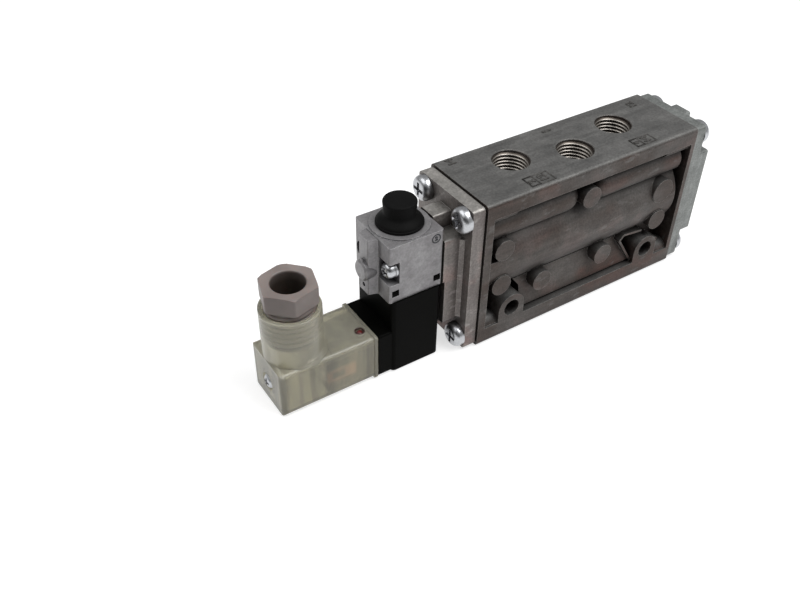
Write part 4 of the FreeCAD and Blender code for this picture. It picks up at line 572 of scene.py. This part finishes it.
def moulded(name, tone, roughness, grain=0.012, scale=1800, soft=0.2, painted_bore_shade=None, **sockets):
    """One tone with a slight drift, a fine grain, soft corners and, if given, a bore painted dark as
    shade.
    """
    finish = Finish(name, 0.0, roughness, **sockets)
    cloud = finish.noise(scale, 3.0)
    colour = finish.between(finish.noise(120, 2.0), scaled(tone, 0.88), scaled(tone, 1.10))
    if painted_bore_shade:
        # Painted shade: the nut's bore is darkened where no light reaches into it.
        dark, x, radius, top = painted_bore_shade
        inside = finish.span(finish.from_axis(x, 0), 1.0, 0.0,
                             (radius + 0.1) * MM, (radius + 0.3) * MM)
        below = finish.across("Z", top - NUT_SHADE_DEPTH, NUT_SHADE_DEPTH, NUT_SHADE_FADE)
        colour = finish.mix(finish.math("MULTIPLY", inside, below), colour, dark)
    finish.colour(colour)
    finish.roughness(finish.span(cloud, roughness - 0.05, roughness + 0.05))
    finish.soft_edges(soft)
    finish.grain(cloud, grain)
    return finish.material


finishes.update({
    "black_rubber": moulded("black_rubber", (0.0036, 0.0036, 0.0036), 0.62, 0.012,
                            Specular_IOR_Level=0.10),
    "seal_rubber": moulded("seal_rubber", (0.010, 0.010, 0.010), 0.50, Specular_IOR_Level=0.2),
    "gasket_fibre": moulded("gasket_fibre", (0.012, 0.011, 0.010), 0.85, Specular_IOR_Level=0.1),
    "coil_resin": moulded("coil_resin", (0.0022, 0.0022, 0.0019), 0.46, 0.012, 2600,
                          Specular_IOR_Level=0.03),
    "bobbin_resin": moulded("bobbin_resin", (0.06, 0.06, 0.06), 0.5),
    "board_green": moulded("board_green", (0.20, 0.205, 0.165), 0.45),
    "nut_resin": moulded("nut_resin", (0.226, 0.190, 0.176), 0.46, 0.008, 2200, 0.3,
                         ((0.040, 0.031, 0.025), TOWER_X, gland["dims"]["r_mm"], NUT_TOP),
                         Subsurface_Weight=0.12, Subsurface_Scale=0.001),
})

# %% [markdown]
# The terminal block shows through the plug's milky wall. It is a brown-grey moulding with upright
# ribs, and its near side has a pale latch with a dark slot. The latch is part of the colour here:
# two soft-edged rectangles in the side's plane, one inside the other.

# %% The terminal block's colour
def latched_resin(name, tone, pale):
    """Brown-grey resin with upright streaks and a pale latch on its side."""
    finish = Finish(name, 0.0, 0.6)
    streaks = finish.noise(420, 2.0, (1, 1, 0.06))
    ribs = finish.between(streaks, scaled(tone, 0.62), scaled(tone, 1.35), 0.38, 0.62)
    finish.colour(finish.mix(finish.latch(), ribs, pale))
    finish.grain(streaks, 0.03)
    return finish.material


finishes["block_resin"] = latched_resin("block_resin", (0.33, 0.305, 0.27), (0.80, 0.66, 0.58))
print("mouldings added:", len(finishes), "finishes so far")

# %% [markdown]
# ## Milky resin and a red lamp
#
# The plug's housing is clear resin that has gone milky, so the pieces inside show only as soft
# shapes. A glass shader with a rough surface blurs what lies behind it and its share of plain
# scattering whitens it. Three things stay clear enough to see in the photograph because they touch
# the wall: the turns of the thread in the tower, the upright ribs in the box and the terminal
# block's latch. They are drawn in the wall's colour too, the turns as a wave that winds round the
# tower's axis with the thread's pitch.

# %% Where the tower's thread is
TOWER_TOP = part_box("plug_housing")[1].z / MM
GLAND_PITCH = 2.0
SEAL_RISE = 1.7
BOX_MIDDLE = 8.5
LATCH_GLOW = (1.22, 1.10, 1.08)
thread_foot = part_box("gland_seal")[0].z / MM + SEAL_RISE
print("the tower's thread runs from", round(thread_foot, 2), "to", round(TOWER_TOP, 2), "mm")


# %% A recipe for the housing
def milky_housing(name, tone, roughness, clear):
    """Milky resin with the thread's turns in the tower, and ribs and a paler latch in the box."""
    finish = Finish(name, 0.0, roughness, Transmission_Weight=clear, IOR=1.46)
    colour = finish.between(finish.noise(90, 3.0), scaled(tone, 0.93), tone)
    wave = finish.span(finish.turns(TOWER_X, thread_foot, GLAND_PITCH), 0.0, 1.0, -1.0, 1.0)
    turns = finish.between(wave, (0.80, 0.81, 0.82), (1.27, 1.26, 1.27), 0.05, 0.50)
    ribs = finish.between(finish.noise(330, 2.0, (1, 1, 0.05)), (0.60, 0.60, 0.60),
                          (0.95, 0.93, 0.88), 0.42, 0.58)
    reach = (TOWER_TOP - thread_foot) / 2
    zones = ((turns, thread_foot + reach, reach), (ribs, BOX_MIDDLE, BOX_MIDDLE))
    for pattern, middle, half in zones:
        marked = finish.mix(1.0, colour, pattern, "MULTIPLY")
        colour = finish.mix(finish.across("Z", middle, half), colour, marked)
    paler = finish.mix(1.0, colour, LATCH_GLOW, "MULTIPLY")
    finish.colour(finish.mix(finish.latch(), colour, paler))
    finish.soft_edges(0.3)
    finish.grain(finish.noise(1400, 2.0), 0.006)
    return finish.material


def lens(name, tone, rim, x, y, radius):
    """Tinted resin that darkens towards its rim, with the lamp's axis and radius in metres."""
    finish = Finish(name, 0.0, 0.30)
    share = finish.span(finish.from_axis(x / MM, y / MM), 0.0, 1.0, 0.0, radius)
    finish.colour(finish.between(share, tone, rim, 0.45, 0.70))
    finish.grain(finish.noise(1500, 2.0), 0.004)
    return finish.material


lamp_low, lamp_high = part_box("indicator_lamp")
lamp_middle = (lamp_low + lamp_high) / 2
LAMP_RADIUS = (lamp_high.y - lamp_low.y) / 2
finishes.update({
    "clear_resin": milky_housing("clear_resin", (0.785, 0.76, 0.625), 0.24, 0.72),
    "red_lens": lens("red_lens", (0.14, 0.010, 0.009), (0.040, 0.009, 0.008),
                     lamp_middle.x, lamp_middle.y, LAMP_RADIUS),
})
print("lamp of radius", round(LAMP_RADIUS / MM, 2), "mm,", round(lamp_middle.z / MM, 2), "mm high")

# %% Dress the construction
for part in frame["record"]["subparts"]:
    for holder in nodes[part["node"]].material_slots:
        holder.material = finishes[part["material_slot"]]
print("dressed", len(nodes), "pieces in", len(finishes), "finishes")

# %% [markdown]
# ## Surfaces from arrays
#
# A thread or a raised mark is one outline carried along a path. The path gives, at every step, a
# centre and two directions; the outline gives two numbers at every corner. Multiplying them out
# fills a grid of points, and neighbouring points make the faces. The volume inside, added up from
# the faces, tells whether they point outward: if it comes out negative, they are turned round.

# %% Carry an outline along a path
def made(name, points, faces):
    """A smooth mesh object of the points in metres and the faces given."""
    mesh = bpy.data.meshes.new(name)
    mesh.from_pydata(points.tolist(), [], faces)
    mesh.shade_smooth()
    return shown(name, mesh)


def circle(radius, steps):
    """Point i = radius * (cos a_i, sin a_i), evenly round."""
    angle = np.arange(steps) * 2 * math.pi / steps
    return np.stack([np.cos(angle), np.sin(angle)], -1) * radius


def carried(name, outline, centres, across, up, closed=False):
    """Point (i, j) = centre_i + outline_j[0] * across_i + outline_j[1] * up_i, with capped ends."""
    steps, corners = len(centres), len(outline)
    points = (centres[:, None] + outline[None, :, :1] * across[:, None]
              + outline[None, :, 1:] * up[:, None]).reshape(-1, 3)
    i = np.arange(steps if closed else steps - 1)[:, None]
    j = np.arange(corners)[None, :]
    after, beside = (i + 1) % steps, (j + 1) % corners
    faces = np.stack([i * corners + j, after * corners + j, after * corners + beside,
                      i * corners + beside], -1).reshape(-1, 4)
    first, second, third, fourth = (points[faces[:, k]] for k in range(4))
    volume = (np.einsum("ij,ij->i", first, np.cross(second, third)).sum()
              + np.einsum("ij,ij->i", first, np.cross(third, fourth)).sum())
    ends = [] if closed else [np.arange(corners)[::-1], np.arange(corners) + (steps - 1) * corners]
    turn = -1 if volume < 0 else 1
    return made(name, points, [list(face)[::turn] for face in (*faces.tolist(), *ends)])


def mounted(piece, body, material):
    """The piece rides on a body and takes its finish."""
    piece.data.materials.clear()
    piece.data.materials.append(material)
    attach(piece, body)


# %% [markdown]
# ## Threads
#
# A tap leaves a ridge that winds up the wall. Its section is a triangle with a rounded crest, and
# its start and end fade into the wall. The path is a helix: the angle grows evenly, the height
# grows by one pitch a turn. For an inside thread the crest points at the axis, and for an outside
# one away from it. The record lists each port's hole with its radius, length and place. The finish
# paints a highlight on the crests and shade in the roots, so the mesh keeps how high on the ridge
# each point is, as an attribute named crest, and the finish reads it.

# %% A ridge round a bore or a shank
# The section's corners: a share of the ridge's depth, and a share of the pitch.
RIDGE = np.array([(-0.03, -0.49), (0.06, -0.44), (0.50, -0.27), (0.85, -0.13),
                  (0.97, -0.06), (1.0, 0.0), (0.97, 0.06),
                  (0.85, 0.13), (0.50, 0.27), (0.06, 0.44), (-0.03, 0.49)])


def thread(name, x, y, low, high, wall, depth, pitch, outward=False, steps=64):
    """Helix of radius wall: z = low + pitch * angle / turn, faded in over half a turn."""
    turns = (high - low) / pitch
    angle = np.linspace(0, turns * 2 * math.pi, int(turns * steps))
    fade = np.clip(np.minimum(angle, angle[-1] - angle) / math.pi, 0.02, 1)
    radial = np.stack([np.cos(angle), np.sin(angle), np.zeros_like(angle)], -1)
    centres = radial * wall + np.array([x, y, low])
    centres[:, 2] += pitch * angle / (2 * math.pi)
    inward = (1 if outward else -1) * radial * fade[:, None]
    axial = np.tile([0.0, 0.0, 1.0], (len(angle), 1))
    ridge = carried(name, RIDGE * (depth, pitch) * MM, centres * MM, inward, axial)
    crest = np.tile(RIDGE[:, 0], len(angle)).astype(np.float32)
    ridge.data.attributes.new("crest", "FLOAT", "POINT").data.foreach_set("value", crest)
    return ridge


# %% The ports' threads
PORT_PITCH = 1.337
PORT_RIDGE = 0.74
RUN_OUT = 0.05

ports = [mount for mount in mounts.values() if mount["kind"] == "threaded_hole"]


def cut_thread(name, root_shade, crest):
    """Cut metal coloured from painted shade at the roots to a painted highlight on the crests."""
    finish = Finish(name, 0.85, 0.40)
    height = finish.add("ShaderNodeAttribute")
    height.attribute_name = "crest"
    finish.colour(finish.between(height.outputs["Fac"], root_shade, crest, 0.45, 0.95))
    finish.grain(finish.noise(900, 2.0), 0.004)
    return finish.material


# Painted shade in the thread's roots and a painted highlight on its crests.
finishes["cut_thread"] = cut_thread("cut_thread", (0.070, 0.059, 0.050), (0.47, 0.44, 0.40))
for port in ports:
    x, y, middle = (value / MM for value in port["pos_m"])
    reach = (port["dims"]["length_mm"] - PORT_PITCH) / 2 - RUN_OUT
    ridge = thread(port["name"] + "_thread", x, y, middle - reach, middle + reach,
                   port["dims"]["r_mm"], PORT_RIDGE, PORT_PITCH)
    mounted(ridge, "valve", finishes["cut_thread"])
print("threads cut in", len(ports), "ports")

# %% [markdown]
# The cable nut screws into the plug's tower with a coarse moulded thread. It needs both halves: a
# ridge inside the tower, and one round the nut's shank that lies between its turns.

# %% The cable gland's thread
GLAND_RIDGE = 0.55
TOWER_BORE = 8.70
SHANK_RADIUS = 7.95
NUT_START = 2.5 * GLAND_PITCH
SHANK_SHOWS = 1.4

tower_ridge = thread("tower_thread", TOWER_X, 0, thread_foot, TOWER_TOP - GLAND_PITCH / 2,
                     TOWER_BORE, GLAND_RIDGE, GLAND_PITCH)
mounted(tower_ridge, "valve", finishes["clear_resin"])
shank_low = thread_foot + NUT_START
nut_ridge = thread("nut_thread", TOWER_X, 0, shank_low, TOWER_TOP + SHANK_SHOWS,
                   SHANK_RADIUS, GLAND_RIDGE, GLAND_PITCH, outward=True)
mounted(nut_ridge, "valve", finishes["nut_resin"])
print("the nut's thread starts at", round(shank_low, 2), "mm")

# %% [markdown]
# ## The rubber button
#
# The button is a moulded rubber boot: a wide foot, a waist with a soft flare into it, and a flat
# crown with a round edge. It was turned as a mould, so it is turned here: a profile of radii and
# heights goes once round the pilot block's axis. The flare is a smooth step, the curve that starts
# and ends level. Inside it is hollow, because the pin under it has to move.

# %% Turn a profile
def turned(name, radii, heights, x, y, steps=96):
    """Point (i, j) = (x + r_j cos a_i, y + r_j sin a_i, z_j) in millimetres, a pole at each end."""
    rings = len(radii) - 2
    round_axis = circle(1, steps)[:, None] * radii[1:-1, None] + (x, y)
    level = np.broadcast_to(heights[1:-1], (steps, rings))[..., None]
    points = np.concatenate([round_axis, level], -1)
    points = np.concatenate([points.reshape(-1, 3), [(x, y, heights[0]), (x, y, heights[-1])]])
    i = np.arange(steps)[:, None]
    after = (i + 1) % steps
    j = np.arange(rings - 1)[None, :]
    here, there = i * rings + j, after * rings + j
    walls = np.stack([here, here + 1, there + 1, there], -1).reshape(-1, 4)
    pole, last = np.full_like(i, steps * rings), rings - 1
    start = np.stack([pole, i * rings, after * rings], -1).reshape(-1, 3)
    end = np.stack([pole + 1, after * rings + last, i * rings + last], -1).reshape(-1, 3)
    return made(name, points * MM, walls.tolist() + start.tolist() + end.tolist())


# %% The button's profile
CAP_FOOT, CAP_WAIST, CAP_CROWN = 7.9, 5.25, 5.6
CAP_SKIRT, CAP_HEIGHT, CAP_EDGE, CAP_DOME = 0.9, 8.8, 0.9, 0.25
CAP_FLARE = 3.9
CAP_RIM, CAP_RIM_DEPTH = 4.95, 2.4
CAP_ROOM, CAP_ROOF, CAP_CORNER = 3.85, 7.4, 0.5
CAP_LIP, CAP_SOLE, CAP_LIFT = 0.3, 0.2, 0.02
SHARPEST_SMOOTH = 50
TRAVEL_Z = 1.2

block_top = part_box("pilot_block")[1].z / MM
cap_low, cap_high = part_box("override_cap")
cap_x = (cap_low.x + cap_high.x) / 2 / MM
share = np.linspace(0, 1, 25)
smooth = share * share * (3 - 2 * share)
edge = np.linspace(math.pi / 2, 0, 9)
lip = np.linspace(0, math.pi / 2, 6)
dome = np.linspace(0.4, 1, 8)
flat_radius, skirt_radius = CAP_CROWN - CAP_EDGE, CAP_FOOT - CAP_LIP
edge_height = CAP_HEIGHT - CAP_DOME - CAP_EDGE

# The outside from the crown down: dome, edge, flare and lip.
outside = [
    (dome * flat_radius, CAP_HEIGHT - CAP_DOME * dome ** 2),
    (flat_radius + CAP_EDGE * np.cos(edge[1:]), edge_height + CAP_EDGE * np.sin(edge[1:])),
    (CAP_WAIST + (skirt_radius - CAP_WAIST) * smooth, CAP_FLARE + (CAP_SKIRT - CAP_FLARE) * share),
    (skirt_radius + CAP_LIP * np.sin(lip[1:]), CAP_SKIRT - CAP_LIP * (1 - np.cos(lip[1:]))),
]
# The inside from the sole up: sole, rim and the room for the pin.
inside = [(CAP_FOOT, CAP_LIFT), (CAP_FOOT - CAP_SOLE, 0), (CAP_RIM, 0), (CAP_RIM, -CAP_RIM_DEPTH),
          (CAP_ROOM, -CAP_RIM_DEPTH), (CAP_ROOM, CAP_ROOF - CAP_CORNER),
          (CAP_ROOM - CAP_CORNER, CAP_ROOF), (0, CAP_ROOF)]
profile = np.concatenate([[(0, CAP_HEIGHT)], *(np.stack(curve, -1) for curve in outside), inside])
button = turned("rubber_button", profile[:, 0], profile[:, 1] + block_top, cap_x, 0)
button.data.set_sharp_from_angle(angle=math.radians(SHARPEST_SMOOTH))
mounted(button, "valve", finishes["black_rubber"])
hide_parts("override_cap")
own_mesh(button)
print("button", round(CAP_HEIGHT, 2), "mm high over", round(block_top, 2), "mm")

# %% [markdown]
# ## Springs
#
# Two springs sit out of sight and push the spool and the armature back. A spring is a round wire
# wound on a helix, with its last turn at each end closed up so that it stands square.

# %% Wind a wire
def wound(name, node, axis, wire, turns, steps=40):
    """Helix in the node's box along the axis: even pitch between one closed turn at each end."""
    low, high = (np.array(corner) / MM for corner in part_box(node))
    middle = (low + high) / 2
    radius = (high - low)[(axis + 1) % 3] / 2 - wire / 2
    angle = np.linspace(0, turns * 2 * math.pi, int(turns * steps))
    length = high[axis] - low[axis]
    climb = np.interp(angle / (2 * math.pi), [0, 1, turns - 1, turns],
                      [0, wire, length - 2 * wire, length - wire])
    along, first, second = np.roll(np.eye(3), -axis, 0)
    radial = np.outer(np.cos(angle), first) + np.outer(np.sin(angle), second)
    centres = middle * (1 - along) + radial * radius + np.outer(low[axis] + wire / 2 + climb, along)
    outline = circle(wire / 2, 10)
    return carried(name, outline * MM, centres * MM, radial, np.tile(along, (len(angle), 1)))


# %% The two springs
TRAVEL_X = 3.0
# Each spring has the node it replaces, its axis, wire in mm, turns, joint and travel in mm.
springs = {"spool_spring": ("return_spring", 0, 0.6, 6.0, "spool_slide", TRAVEL_X),
           "core_spring": ("armature_spring", 2, 0.3, 7.0, "armature_slide", TRAVEL_Z)}
for name, (node, axis, wire, turns, joint, travel) in springs.items():
    coil = wound(name, node, axis, wire, turns)
    mounted(coil, "valve", finishes["spring_steel"])
    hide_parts(node)
    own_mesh(coil)
print("springs wound:", ", ".join(springs))

# %% [markdown]
# ## Numbers and marks on the casting
#
# The mould has small figures cut into it, so they stand a fraction of a millimetre proud of the
# metal, and two pairs of them have a raised frame with a bar across. On the top they read from the
# spring's end. A text object gives the figures, made into a mesh before they are put in their
# places. The frames are one half-round outline carried round a rectangle.

# %% Raised figures
TOP = 59.0
MARK_HEIGHT = 0.28
LOOP_ROOT = 0.1
FIGURE_SWELL, FIGURE_BEVEL, FIGURE_CORE = 0.07, 0.06, 0.7


def figures(name, text, size, centre, right, up, rise=MARK_HEIGHT):
    """Point = centre + x * right + y * up + z * outward, for the text's own x, y and z."""
    curve = bpy.data.curves.new(name, "FONT")
    curve.body = text
    curve.size = size * MM
    curve.align_x = "CENTER"
    curve.align_y = "CENTER"
    curve.offset = FIGURE_SWELL * MM
    curve.extrude = rise * MM * FIGURE_CORE
    curve.bevel_depth = FIGURE_BEVEL * MM
    curve.bevel_resolution = 1
    curve.resolution_u = 6
    shape = shown(name + "_text", curve)
    bpy.context.view_layer.update()
    finished = shape.evaluated_get(bpy.context.evaluated_depsgraph_get())
    mesh = bpy.data.meshes.new_from_object(finished)
    bpy.data.objects.remove(shape)
    points = np.empty(len(mesh.vertices) * 3, np.float32)
    mesh.vertices.foreach_get("co", points)
    axes = np.array([right, up, np.cross(right, up)], float)
    points = points.reshape(-1, 3) @ axes + np.array(centre) * MM
    mesh.vertices.foreach_set("co", points.astype(np.float32).ravel())
    mesh.update()
    return shown(name, mesh)


def raised_loop(name, corners, centre, right, up, width, rise=MARK_HEIGHT):
    """A half-round ridge along a closed line in a plane: the corners' bisectors are the mitres."""
    path = np.array(corners, float)
    ahead = np.roll(path, -1, 0) - path
    ahead /= np.linalg.norm(ahead, axis=1)[:, None]
    behind = np.roll(ahead, 1, 0)
    side = np.stack([ahead[:, 1] + behind[:, 1], -ahead[:, 0] - behind[:, 0]], -1)
    side /= (1 + (ahead * behind).sum(1))[:, None]
    plane = np.array([right, up], float)
    outward = np.tile(np.cross(right, up).astype(float), (len(path), 1))
    turn = np.linspace(0, math.pi, 7)
    outline = np.stack([np.cos(turn) * width / 2, np.sin(turn) * rise], -1)
    outline = np.concatenate([outline, [(-width / 2, -LOOP_ROOT), (width / 2, -LOOP_ROOT)]])
    centres = path @ plane + np.array(centre)
    return carried(name, outline * MM, centres * MM, side @ plane, outward, closed=True)


# %% Put the marks in their places
FROM_ABOVE = ((1, 0, 0), (0, 1, 0))
FROM_SPRING_END = ((0, 1, 0), (-1, 0, 0))
LINE_WIDTH = 0.55
# The marks are coloured darker than the body: painted shade standing for the shadow along their
# raised lines.
shaded_mark_cast = casting("shaded_mark_cast", (0.066, 0.064, 0.060), (0.105, 0.101, 0.096), (0.24, 0.23, 0.22),
                    (0.03, 0.027, 0.024))
# Each mark has its figures, their size and the place of their middle, in millimetres.
marks = {
    "mark_pilot_side": ("14", 4.2, (-41.4, 12.3)),
    "mark_port_1": ("1", 5.4, (-0.4, 11.6)),
    "mark_spring_side": ("12", 4.2, (39.2, 10.0)),
    "mark_port_2": ("12", 4.3, (-21.25, -11.3)),
    "mark_port_4": ("14", 3.9, (25.45, -11.25)),
    "mark_port_2_side": ("2", 3.2, (-26.0, -11.3)),
    "mark_port_4_side": ("4", 3.0, (21.1, -11.25)),
}
for name, (text, size, (x, y)) in marks.items():
    mark = figures(name, text, size, (x, y, TOP), *FROM_SPRING_END)
    mounted(mark, "valve", shaded_mark_cast)

# Each frame has its left, right, near and far side and the place of its bar.
mark_frames = {
    "frame_port_2": (-27.8, -18.1, -13.9, -8.7, -24.2),
    "frame_port_4": (19.5, 28.3, -13.5, -9.0, 22.8),
}
for name, (left, right, near, far, bar) in mark_frames.items():
    for ending, end in (("", right), ("_bar", bar)):
        corners = [(left, near), (end, near), (end, far), (left, far)]
        loop = raised_loop(name + ending, corners, (0, 0, TOP), *FROM_ABOVE, LINE_WIDTH)
        mounted(loop, "valve", shaded_mark_cast)
print("marks:", ", ".join(marks))

# %% [markdown]
# The pilot block's near side has a small stamped ring with a figure in it, painted dark as the shade
# in the stamped lines.

# %% The ring on the pilot block
RING_PLACE = (-62.7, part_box("pilot_block")[0].y / MM, 49.7)
RING_RADIUS, RING_WIDTH = 1.5, 0.5
RING_STEPS = 40
STAMP_RISE = 0.08
SIDE_ON = ((1, 0, 0), (0, 0, 1))

# The ring and figure are dark as painted shade, standing for the shadow in stamped lines.
stamp_shade = moulded("stamp_shade", (0.035, 0.037, 0.042), 0.6)
ring = raised_loop("pilot_ring", circle(RING_RADIUS, RING_STEPS), RING_PLACE, *SIDE_ON,
                   RING_WIDTH, STAMP_RISE)
mounted(ring, "valve", stamp_shade)
figure = figures("pilot_figure", "2", 2.1, RING_PLACE, *SIDE_ON, STAMP_RISE)
mounted(figure, "valve", stamp_shade)
print("ring stamped at", [round(value, 2) for value in RING_PLACE])

# %% [markdown]
# The lamp sits in a hole in the housing with a thin rim round it, which hides the hole's edge.

# %% The lamp's rim
RIM_WIDTH, RIM_HEIGHT, RIM_SINK = 0.5, 0.18, 0.05
rim_path = circle(LAMP_RADIUS / MM + RIM_WIDTH / 4, RING_STEPS)
rim_place = (lamp_middle.x / MM, lamp_middle.y / MM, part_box("indicator_lamp")[1].z / MM - RIM_SINK)
rim = raised_loop("lamp_rim", rim_path, rim_place, *FROM_ABOVE, RIM_WIDTH, RIM_HEIGHT)
mounted(rim, "valve", finishes["red_lens"])
print("lamp rim at", [round(value, 2) for value in rim_place])
